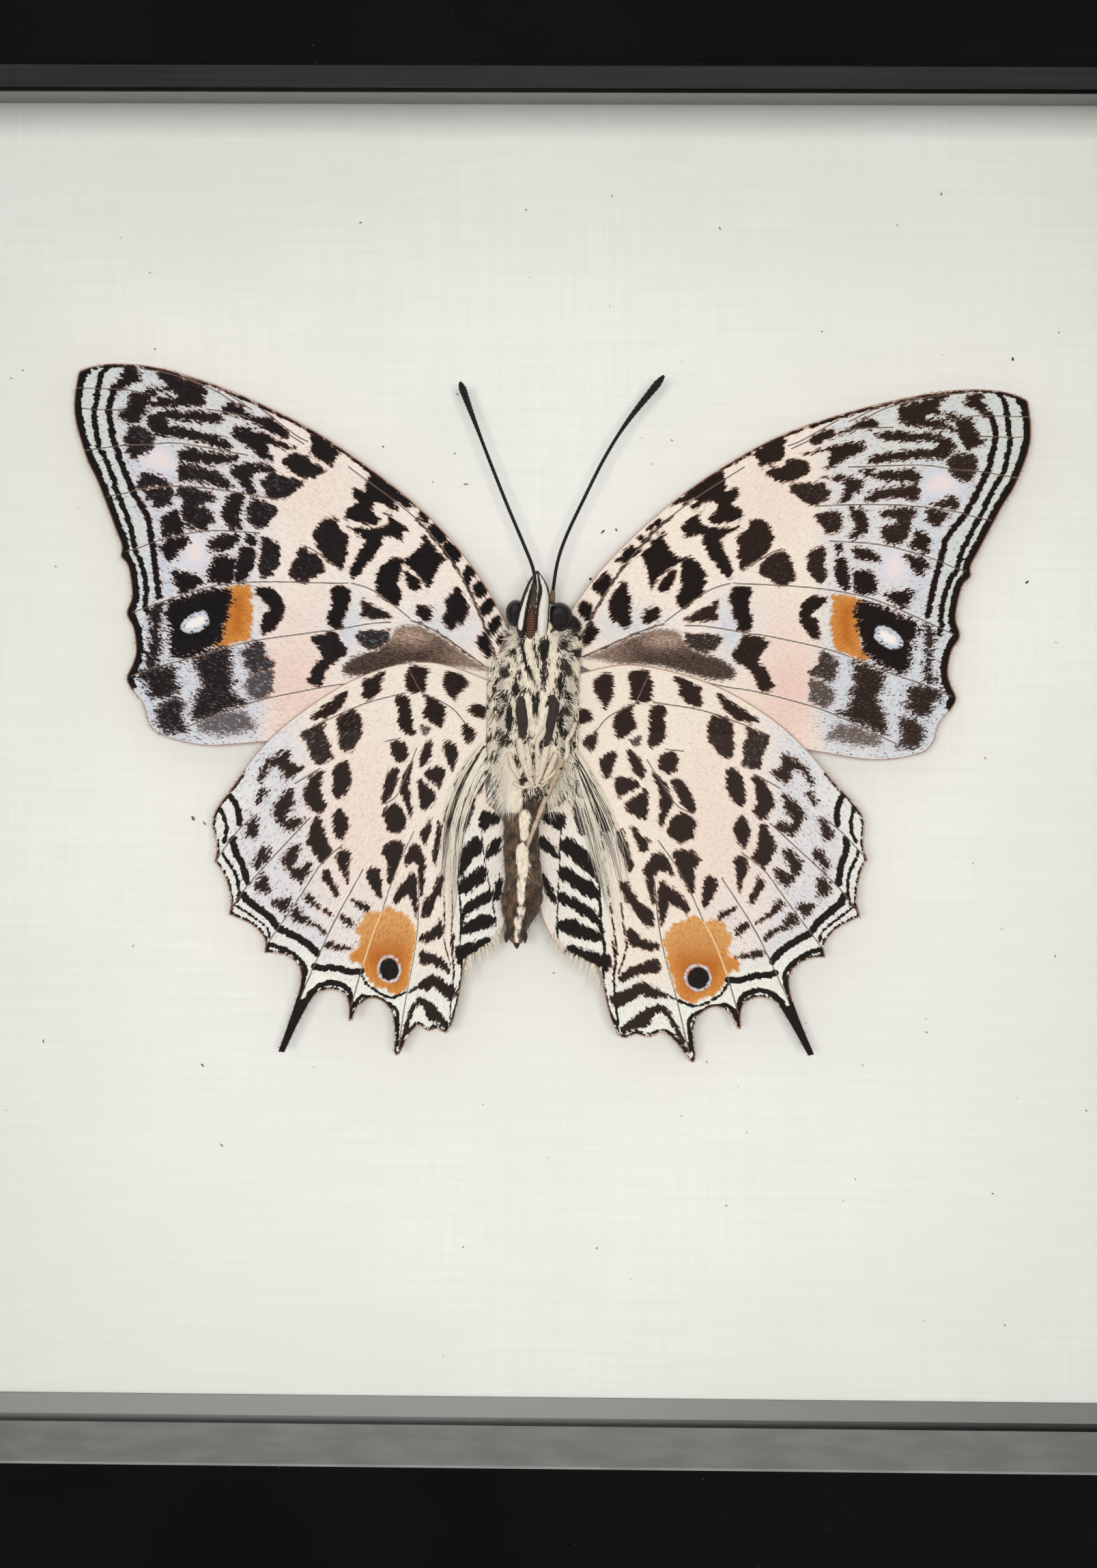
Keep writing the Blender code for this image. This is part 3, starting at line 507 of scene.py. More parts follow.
# Black lines: width, then the places along the middle.
FOREWING_LINES = [
    (0.5, (35, 27), (35.35, 25.6), (35.2, 24.3), (34.95, 23.7), (34.9, 23.1), (33.8, 20.7), (33.4, 20.1),
     (33.2, 19.6), (32.3, 18.4), (31.6, 17.4), (31.5, 16.8), (31, 15), (30.3, 11.6)),
    (0.44, (35.6, 28.7), (36.1, 27.7), (36.4, 25.6), (36.5, 25), (36, 22.6), (35.6, 22), (34.7, 20.3),
     (34.5, 19.7), (33, 16.8), (32.5, 15.1), (32.1, 14.5), (31.5, 12.8), (31.35, 11.4), (31.4, 10.8),
     (31.2, 10.2)),
    (0.2, (3.1, 9), (4.5, 11.8), (6, 14.3), (7.5, 16.2), (9, 17.9), (10.5, 19.2)),
    (0.1, (3.6, 8.2), (6, 9.3), (8, 10.2), (9.8, 10.8)),
]
VEIN_WIDTH = 0.05
FOREWING_VEINS = [
    ((3.1, 9.2), (6, 14.3), (9, 17.9), (12, 20.4), (16, 23)),
    ((19.3, 24.6), (20.5, 25.1), (23.3, 26.7)),
    ((19.6, 24.4), (20.9, 25)),
    ((24, 26.5), (26.5, 27.75), (27.5, 28.1), (29.5, 28.4)),
    ((25, 26.6), (27, 27.6), (30.5, 28.5), (33, 28.75)),
    ((24, 25.8), (25, 26), (27.5, 26.1)),
    ((24, 23), (29.5, 23.2), (32, 22.9), (34, 22.75), (37.3, 22.2)),
    ((21.5, 20), (26, 20.15), (29.5, 20), (32.5, 19.6), (33.5, 19.3), (35.1, 18.95)),
    ((22.6, 17.3), (26.5, 17.05), (30.3, 16.1), (32.3, 15.3), (33.2, 15.05)),
    ((3.7, 8.3), (8, 10.2), (9.8, 10.8)),
    ((11.5, 10.7), (13.5, 10.6), (16.5, 10.1), (18, 9.9), (23, 8.8), (27, 7.25), (30.4, 6.1),
     (32.3, 5.3)),
    ((9.9, 10.95), (12.5, 12.9), (13.7, 13.6), (15, 14)),
    ((16.5, 15.3), (18, 16.3), (19, 16.7)),
    ((15.2, 14), (20.5, 13.75), (24, 13.3), (27, 12.5), (32.4, 10.1)),
    ((13, 6.3), (15, 5.9), (17, 5.6), (21, 4.6), (23.5, 3.7), (28, 1.6)),
    ((32.9, 26.85), (34, 27), (38, 26.95)),
    ((34, 25.45), (36.5, 25.35), (37.4, 25.4)),
]


def curved(before, start, end, after, steps):
    """Catmull-Rom places from start up to end, without end itself."""
    return [0.5 * (2 * start + (end - before) * t
                   + (2 * before - 5 * start + 4 * end - after) * t * t
                   + (3 * start - before - 3 * end + after) * t ** 3)
            for t in (step / steps for step in range(steps))]


def smooth_outline(points, steps=4):
    """Closed curve through the points, sharp where a third value of 1 is given."""
    count = len(points)
    places = [np.array(point[:2], dtype=float) for point in points]
    corners = [len(point) == 3 for point in points]
    curve = []
    for index in range(count):
        start = places[index]
        end = places[(index + 1) % count]
        before = start if corners[index] else places[index - 1]
        after = end if corners[(index + 1) % count] else places[(index + 2) % count]
        curve += curved(before, start, end, after, steps)
    return np.array(curve)


def smooth_path(points, steps):
    """Open curve through the points, with as many values each as they have."""
    places = [np.array(point, dtype=float) for point in points]
    places = [2 * places[0] - places[1], *places, 2 * places[-1] - places[-2]]
    curve = []
    for index in range(len(places) - 3):
        curve += curved(*places[index:index + 4], steps)
    curve.append(places[-2])
    return np.array(curve)


def thin_plate(distance):
    """The pull of one place on another when a thin plate is bent."""
    return np.where(distance > 0, distance ** 2 * np.log(np.maximum(distance, 1e-9)), 0.0)


def to_left_side(points, matches):
    """Mirror right-wing points, then bend them so that each match lands on its left place."""
    source = np.array([(-pair[0][0], pair[0][1]) for pair in matches])
    target = np.array([pair[1] for pair in matches])
    count = len(source)
    system = np.zeros((count + 3, count + 3))
    system[:count, :count] = thin_plate(np.linalg.norm(source[:, None] - source[None], axis=2))
    system[:count, count] = 1.0
    system[:count, count + 1:] = source
    system[count:, :count] = system[:count, count:].T
    weights = np.linalg.solve(system, np.vstack([target, np.zeros((3, 2))]))
    moved = np.asarray(points) * (-1.0, 1.0)
    pull = thin_plate(np.linalg.norm(moved[:, None] - source[None], axis=2))
    return pull @ weights[:count] + weights[count] + moved @ weights[count + 1:]


def reach(points, path, closed=False):
    """Shortest distance from each point to a path."""
    path = np.asarray(path, dtype=float)
    ends = np.roll(path, -1, axis=0) if closed else path[1:]
    starts = path if closed else path[:-1]
    nearest = np.full(len(points), 1e9)
    for start, end in zip(starts, ends):
        along = end - start
        share = np.clip((points - start) @ along / max(along @ along, 1e-12), 0.0, 1.0)
        gap = points - start - share[:, None] * along
        nearest = np.minimum(nearest, gap[:, 0] ** 2 + gap[:, 1] ** 2)
    return np.sqrt(nearest)


def within(points, loop):
    """True for the points inside a closed outline."""
    inside = np.zeros(len(points), dtype=bool)
    for (u1, v1), (u2, v2) in zip(loop, np.roll(loop, -1, axis=0)):
        if v1 == v2:
            continue
        crosses = (v1 > points[:, 1]) != (v2 > points[:, 1])
        inside ^= crosses & (points[:, 0] < (u2 - u1) * (points[:, 1] - v1) / (v2 - v1) + u1)
    return inside


def depth_inside(points, marks):
    """How far each point is inside the nearest mark, in mm, and that mark's first value."""
    deep = np.full(len(points), -1.0)
    value = np.zeros(len(points))
    for first, *outline in marks:
        loop = smooth_outline(outline, 3)
        near = np.all((points > loop.min(0) - 0.7) & (points < loop.max(0) + 0.7), axis=1)
        local = points[near]
        sunk = reach(local, loop, True) * np.where(within(local, loop), 1.0, -1.0)
        better = sunk > deep[near]
        rows = np.flatnonzero(near)[better]
        deep[rows] = sunk[better]
        value[rows] = first
    return deep, value


def inside_of(points, outlines):
    """How far each point is inside the nearest outline, in mm."""
    return depth_inside(points, [(0, *outline) for outline in outlines])[0]


def along_lines(points, lines):
    """How far each point is inside the nearest black line."""
    deep = np.full(len(points), -1.0)
    for width, *route in lines:
        path = smooth_path(route, 4)
        near = np.all((points > path.min(0) - 1.0) & (points < path.max(0) + 1.0), axis=1)
        deep[near] = np.maximum(deep[near], width / 2 - reach(points[near], path))
    return deep


def patch(points, centre, size_u, size_v):
    """A soft round weight, 1 at the centre."""
    off = (points - centre) / (size_u, size_v)
    return np.exp(-(off ** 2).sum(axis=1))


def soft_step(value, low, high):
    """A smooth step from 0 at low to 1 at high."""
    t = np.clip((value - low) / (high - low), 0.0, 1.0)
    return t * t * (3 - 2 * t)


def wing_net(outline, step):
    """Triangles that fill an outline: its own points first, then an even net inside it."""
    loop = []
    for start, end in zip(outline, np.roll(outline, -1, axis=0)):
        pieces = max(1, int(round(np.linalg.norm(end - start) / step)))
        loop += [start + (end - start) * k / pieces for k in range(pieces)]
    loop = np.array(loop)
    low, high = loop.min(0), loop.max(0)
    rows = np.arange(low[1], high[1], step * 0.866)
    columns = np.arange(low[0], high[0], step)
    u, v = np.meshgrid(columns, rows)
    u[1::2] += step / 2
    inner = np.column_stack([u.ravel(), v.ravel()])
    inner = inner[within(inner, outline)]
    inner = inner[reach(inner, outline, True) > step * 0.55]
    points = np.vstack([loop, inner])
    rim = len(loop)
    places, _, faces, origins, _, _ = delaunay_2d_cdt(
        [Vector(p) for p in points], [(k, (k + 1) % rim) for k in range(rim)],
        [list(range(rim))], 1, 1e-7)
    where = np.array([(p[0], p[1]) for p in places])
    back_to = {old: new for new, olds in enumerate(origins) for old in olds}
    return where, np.array([f for f in faces if len(f) == 3]), [back_to[k] for k in range(rim)]


def joined(name, places, faces, finish):
    """A smooth mesh from world places, riding on the frame."""
    mesh = bpy.data.meshes.new(name)
    mesh.from_pydata(places.tolist(), [], faces)
    shaping = bmesh.new()
    shaping.from_mesh(mesh)
    bmesh.ops.recalc_face_normals(shaping, faces=shaping.faces)
    shaping.to_mesh(mesh)
    shaping.free()
    mesh.materials.append(finish)
    mesh.shade_smooth()
    piece = bpy.data.objects.new(name, mesh)
    bpy.context.scene.collection.objects.link(piece)
    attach(piece, "root")
    return piece


def add_values(piece, values):
    """Values at the piece's points, for its finish to read."""
    for key, value in values.items():
        kind, slot = ("FLOAT", "value") if value.ndim == 1 else ("FLOAT_VECTOR", "vector")
        layer = piece.data.attributes.new(key, kind, "POINT")
        layer.data.foreach_set(slot, value.astype(np.float32).ravel())


def wing_piece(name, where, faces, rim, front, relief_mm, values, grain, finish):
    """A thin closed sheet: a fine front that holds the pattern, an edge, and a plain back."""
    count = len(where)
    sheet_points = np.zeros((count + len(rim), 3))
    sheet_points[:count, 0] = where[:, 0] * MM
    sheet_points[:count, 1] = (front - HALF_DEPTH + relief_mm) * MM
    sheet_points[:count, 2] = (where[:, 1] + HALF_OUTER) * MM
    sheet_points[count:] = sheet_points[rim]
    sheet_points[count:, 1] = (front - HALF_DEPTH + SHEET_THICKNESS) * MM
    back_net = delaunay_2d_cdt([Vector(where[k]) for k in rim],
                               [(k, (k + 1) % len(rim)) for k in range(len(rim))],
                               [list(range(len(rim)))], 1, 1e-7)[2]
    sides = []
    for k in range(len(rim)):
        after = (k + 1) % len(rim)
        sides.append((rim[k], rim[after], count + after, count + k))
    polygons = [tuple(f) for f in faces] + sides
    polygons += [tuple(count + k for k in f) for f in back_net if max(f) < len(rim)]
    piece = joined(name, sheet_points, polygons, finish)
    held = {**values, "grain": grain}
    add_values(piece, {key: np.concatenate([value, value[rim]]) for key, value in held.items()})
    return piece


def scale_rows(where, root):
    """Places along and across the rows of scales, which fan out from the wing's root."""
    off = where - root
    length = np.hypot(off[:, 0], off[:, 1])
    turn = np.arctan2(off[:, 1], off[:, 0])
    turn -= np.median(turn)
    return np.column_stack([length * 3.0, turn * (length + 10.0) * 5.0, np.zeros(len(where))])


def reading(name, output="Fac"):
    """A value kept at the piece's points."""
    return step_of("ShaderNodeAttribute", {}, attribute_name=name).outputs[output]


def ruffled(value, grain, amount):
    """A value whose edge wanders with the grain."""
    return sums("ADD", value, times(sums("SUBTRACT", grain, 0.5), amount))


def wing_finish(name, black, brown, faded, cream, pink, cool, green):
    """Scale-covered wing: ground colours, ragged marks with a warm rim, and fine veins."""
    finish = new_finish(name, 0.72)
    where = millimetres()
    rows = reading("grain", "Vector")
    scales = mottle(rows, 1.0, 2.0, 0.6)
    ragged = mottle(rows, 0.42, 3.0, 0.75)
    dapple = mottle(where, 0.5, 3.0, 0.6)
    stray = times(sums("SUBTRACT", scales, 0.5), ease(reading("dusty"), 0.0, 1.0, 0.45, 2.6))
    mark = ruffled(sums("ADD", reading("mark"), stray), ragged, 1.05)
    tone = reading("tone")
    # ground
    ground = blend_of(reading("pink"), cream, pink)
    cool_share = times(reading("cool"), ease(ragged, 0.25, 0.6, 0.45, 1.0))
    ground = blend_of(cool_share, ground, cool)
    ground = blend_of(reading("green"), ground, green)
    ground = blend_of(ease(scales, 0.25, 0.6, 0.22, 0.0), ground, paint(120, 104, 96))
    pepper = times(ease(scales, 0.40, 0.33), reading("dusty"))
    ground = blend_of(times(pepper, 0.85), ground, brown)
    ground = blend_of(ease(dapple, 0.55, 0.8, 0.0, 0.12), ground, paint(160, 140, 130))
    # pale lilac patches
    lilac = ruffled(reading("lilac"), ragged, 0.5)
    ground = blend_of(ease(lilac, -0.35, 0.25, 0.0, 0.8), ground, paint(214, 210, 220))
    ground = blend_of(ease(lilac, 0.1, 0.9, 0.0, 0.8), ground, paint(234, 217, 213))
    # brown smudge
    smudge = ruffled(reading("smudge"), scales, 1.5)
    smudge_colour = blend_of(ease(scales, 0.3, 0.7), paint(46, 36, 31), paint(92, 75, 65))
    smudge_tan = blend_of(ease(scales, 0.3, 0.65), paint(112, 84, 70), paint(190, 164, 144))
    smudge_colour = blend_of(reading("root"), smudge_colour, smudge_tan)
    ground = blend_of(ease(smudge, -0.12, 0.22), ground, smudge_colour)
    # veins on the ground
    vein = reading("vein")
    ground = blend_of(ease(vein, 0.20, 0.08, 0.0, 0.3), ground, paint(244, 238, 230))
    ground = blend_of(ease(vein, 0.085, 0.04, 0.0, 0.85), ground, paint(74, 58, 50))
    # orange
    orange = ruffled(reading("orange"), ragged, 1.2)
    glow_depth = ease(reading("orange"), 0.1, 1.4)
    glow = blend_of(glow_depth, paint(208, 138, 66), paint(184, 102, 30))
    glow = blend_of(ease(reading("root"), 0.0, 1.0, 0.0, 0.7), glow, paint(220, 168, 106))
    glow = blend_of(ease(scales, 0.3, 0.6, 0.5, 0.0), glow, paint(150, 90, 42))
    glow = blend_of(ease(vein, 0.11, 0.04, 0.0, 0.75), glow, paint(238, 200, 156))
    ground = blend_of(ease(orange, -0.15, 0.15), ground, glow)
    # marks
    warm = times(ease(mark, -0.13, -0.02), reading("warm"))
    ground = blend_of(times(warm, 0.55), ground, paint(150, 104, 76))
    deep = blend_of(ease(tone, 0.0, 0.35), black, brown)
    deep = blend_of(ease(tone, 0.35, 0.95), deep, faded)
    deep = blend_of(ease(scales, 0.3, 0.75, 0.0, 0.06), deep, faded)
    red_edge = times(ease(mark, 0.15, 0.0, 0.0, 0.7), reading("warm"))
    deep = blend_of(red_edge, deep, paint(84, 54, 42))
    salt = times(ease(scales, 0.57, 0.66), ease(tone, 0.2, 0.8, 0.0, 0.6))
    deep = blend_of(salt, deep, cool)
    deep = blend_of(ease(vein, 0.08, 0.03, 0.0, 0.45), deep, paint(150, 128, 112))
    colour = blend_of(ease(mark, -0.045, 0.045), ground, deep)
    # white-centred spot
    pupil = ruffled(reading("pupil"), ragged, 0.45)
    speckle = ease(scales, 0.36, 0.46)
    colour = blend_of(times(speckle, ease(pupil, -0.1, 0.06)), colour, paint(200, 203, 212))
    colour = blend_of(ease(pupil, 0.2, 0.5), colour, paint(238, 228, 226))
    # thin rim at the wing's edge
    edge = reading("edge")
    colour = blend_of(ease(edge, 0.13, 0.03, 0.0, 0.8), colour, paint(176, 128, 102))
    coat(colour)
    into("Specular IOR Level", 0.06)
    relief(sums("ADD", scales, times(ragged, 0.5)), 0.035, 0.8)
    return finish


BLACK = paint(18, 13, 11)
BROWN = paint(42, 29, 22)
FADED = paint(112, 98, 92)

outline = smooth_outline(RIGHT_FOREWING)
net, net_faces, net_rim = wing_net(outline, MESH_STEP)
net_u, net_v = net.T
mark, tone = depth_inside(net, FOREWING_MARKS)
hole = inside_of(net, FOREWING_HOLES)
apex = soft_step(net_u, 22.0, 27.0) * soft_step(net_v, 19.0, 23.0)
mark = np.minimum(mark + 0.1 * apex, -hole)
line = along_lines(net, FOREWING_LINES)
outer_edge = [p for p in outline if p[0] > 31.6 and p[1] > 4.6 and p[1] < 29.2 and
              not (p[0] < 37.0 and p[1] > 26.0)]
front_edge = [p for p in outline if p[1] > 11.7 and p[0] < 37.2 and p[1] > 0.55 * p[0] + 7.0]
to_outer = reach(net, outer_edge)
to_front = reach(net, front_edge)
line = np.maximum(line, 0.36 - np.abs(to_outer - 0.26))
line = np.maximum(line, 0.11 - np.abs(to_front - 0.18) - 0.3 * soft_step(net_u, 11.0, 9.0))
line *= 1.7
tone = np.where(line > mark, 0.02, tone)
mark = np.maximum(mark, line)
vein = -along_lines(net, [(VEIN_WIDTH, *route) for route in FOREWING_VEINS]) + VEIN_WIDTH / 2
line_u = np.interp(-net_v, [-27.0, -25.0, -21.0, -17.0, -13.0, -11.0, -5.0, 0.0],
                   [35.2, 35.5, 34.2, 31.8, 30.9, 30.3, 30.0, 29.5])
green = soft_step(net_u - line_u, 0.0, 0.5) * soft_step(net_v, 8.0, 13.0)
apex = soft_step(net_u, 22.0, 27.0) * soft_step(net_v, 21.0, 24.0)
green = np.clip(green + 0.5 * apex, 0, 0.9)
pink = patch(net, (19.8, 5.5), 3.2, 4.5) + 0.3 * patch(net, (18.5, 20.5), 3.5, 4.0)
pink += 0.25 * patch(net, (18.6, 11.5), 2.4, 3.0)
cool = patch(net, (15.2, 10.4), 1.7, 2.8) + patch(net, (23.4, 5.6), 1.5, 3.0)
cool += patch(net, (28.0, 4.4), 1.8, 3.4) + soft_step(net_u, 28.3, 30.6) * 0.9
cool += 0.8 * patch(net, (7.2, 10.6), 3.2, 1.6) + 0.75 * soft_step(net_u, 20.8, 23.5)
dusty = 0.85 * patch(net, (27.0, 5.0), 4.0, 4.5) + 0.45 * soft_step(net_u, 21.0, 24.0)
dusty += 0.8 * patch(net, (25.5, 2.5), 4.5, 1.8) + 0.5 * patch(net, (30.5, 8.0), 1.6, 5.0)
dusty += 0.35 * patch(net, (8.0, 12.0), 3.0, 2.5)
dusty *= 1.0 - 0.7 * soft_step(line, -0.35, -0.1)
smudge = inside_of(net, FOREWING_SMUDGE)
root_light = np.maximum(soft_step(net_u, 9.0, 5.0) * 0.55, patch(net, (9.9, 9.6), 1.9, 0.75))
orange = inside_of(net, FOREWING_ORANGE)
pupil = inside_of(net, FOREWING_PUPIL)
lilac = inside_of(net, FOREWING_LILAC)
edge = reach(net, outline, True)
warm = 1.0 - 0.75 * soft_step(net_u - line_u, -0.5, 0.6)
waves = 0.05 * np.sin(net_u * 0.42 + 0.5 * np.sin(net_v * 0.3)) * soft_step(edge, 0.0, 3.0)
ridges = -0.06 * np.exp(-(np.maximum(vein, 0.0) / 0.11) ** 2) * soft_step(edge, 0.05, 0.4)
relief_mm = waves + ridges
values = {"mark": mark, "tone": tone, "vein": vein, "green": green, "pink": np.clip(pink, 0, 1),
          "cool": np.clip(cool, 0, 1), "smudge": smudge, "root": root_light, "orange": orange,
          "pupil": pupil, "lilac": lilac, "edge": edge, "warm": warm,
          "dusty": np.clip(dusty, 0, 1)}
grain = scale_rows(net, (1.0, 8.0))
# The two finishes are lit copies: the right marks are painted browner, the left ones blacker and bluer, as
# painted light.
forewing_right_warm_lit = wing_finish("forewing_scales_right", BLACK, BROWN, FADED, paint(238, 225, 211),
                             paint(230, 199, 187), paint(203, 207, 215), paint(208, 212, 203))
forewing_left_cool_lit = wing_finish("forewing_scales_left", paint(15, 12, 13), paint(30, 23, 22),
                            paint(104, 96, 98), paint(236, 224, 213), paint(231, 203, 193),
                            paint(203, 207, 217), paint(209, 213, 207))
forewing_right = wing_piece("forewing_right_scaled", net, net_faces, net_rim, FOREWING_FRONT,
                            relief_mm, values, grain, forewing_right_warm_lit)
net_left = to_left_side(net, FOREWING_MATCHES)
mark_left, _ = depth_inside(net, [entry for entry in FOREWING_MARKS if entry[1][0] > 9.1
                                  or entry[0] > 0])
bar_left = inside_of(net_left, LEFT_EDGE_BARS)
mark_left += 0.17 * soft_step(net_u, 19.0, 23.0)
mark_left = np.maximum(np.minimum(mark_left, -hole), np.maximum(bar_left + 0.1, line))
values["mark"] = mark_left
forewing_left = wing_piece("forewing_left_scaled", net_left, net_faces, net_rim, FOREWING_FRONT,
                           relief_mm, values, grain + 7.3, forewing_left_cool_lit)
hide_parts("forewing_right")
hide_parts("forewing_left")

# ---- Hindwings -------------------------------------------
# The hindwings overlap the front pair towards the viewer.  Each has rows of brown spots, a
# zebra-barred inner fold, an orange patch with a black pupil, and toothed tails.
HINDWING_FRONT = 17.15
RIGHT_HINDWING = [
    (3.2, 6.9, 1), (5.3, 7.45), (7.4, 7.65), (10.5, 7.15), (14.5, 5.8), (18.2, 3.6), (20.8, 1.35),
    (23.2, -1.4), (25.4, -3.9), (25.5, -6.2), (25.85, -7.4, 1), (25.3, -8.6), (25.05, -10.6),
    (25.35, -11.9, 1), (23.6, -12.8), (22.6, -14), (22.65, -15.1, 1), (21.2, -15.3), (20, -16.3),
    (20, -18), (20.75, -20.2), (21.85, -22.75, 1), (21.4, -22.85, 1), (19.9, -20.2), (18.85, -18.7),
    (17.6, -18.3), (16.5, -18.7), (16.1, -19.6), (16.15, -20.8, 1), (15.85, -20.8, 1), (15.3, -19.7),
    (14.2, -19.05), (13, -19.6), (12.45, -20.9), (12.6, -23.1), (12.1, -23.35), (11.2, -22.1),
    (10, -21.1), (9, -21.5), (7.9, -21.3), (6.8, -21.55), (5.95, -20.2), (5.4, -18), (4.95, -16.1),
    (3.4, -15.4), (2.1, -14.9, 1), (1.2, -13.6), (0.4, -11.7), (0.1, -9), (-0.1, -6), (0.2, -4.4),
    (1.7, -3.2, 1), (2.55, -0.6), (2.95, 3),
]
HINDWING_MATCHES = [
    ((3.2, 6.9), (-3.6, 6.3)), ((5.2, 5.9), (-6.4, 6.2)), ((11.9, 5.5), (-12.8, 5.8)),
    ((22, 0), (-22.4, -0.15)), ((25.8, -7.4), (-25.1, -7.9)), ((25.3, -11.9), (-24, -12.1)),
    ((22.6, -15.1), (-21.2, -15.1)), ((21.65, -22.8), (-19.95, -22.9)), ((16, -20.8), (-14.5, -20.4)),
    ((12.3, -23.35), (-10.8, -23)), ((6.8, -21.5), (-6.9, -21.2)), ((2.1, -14.9), (-3.25, -14.3)),
    ((12.65, -16.9), (-11.35, -16.4)), ((14.4, 2.1), (-14.55, 2.4)), ((11.4, -5.1), (-11, -4.5)),
    ((3.8, 3.6), (-4.64, 4)), ((2, -5.5), (-4.3, -5.5)), ((1.75, -10), (-3.55, -10)),
]
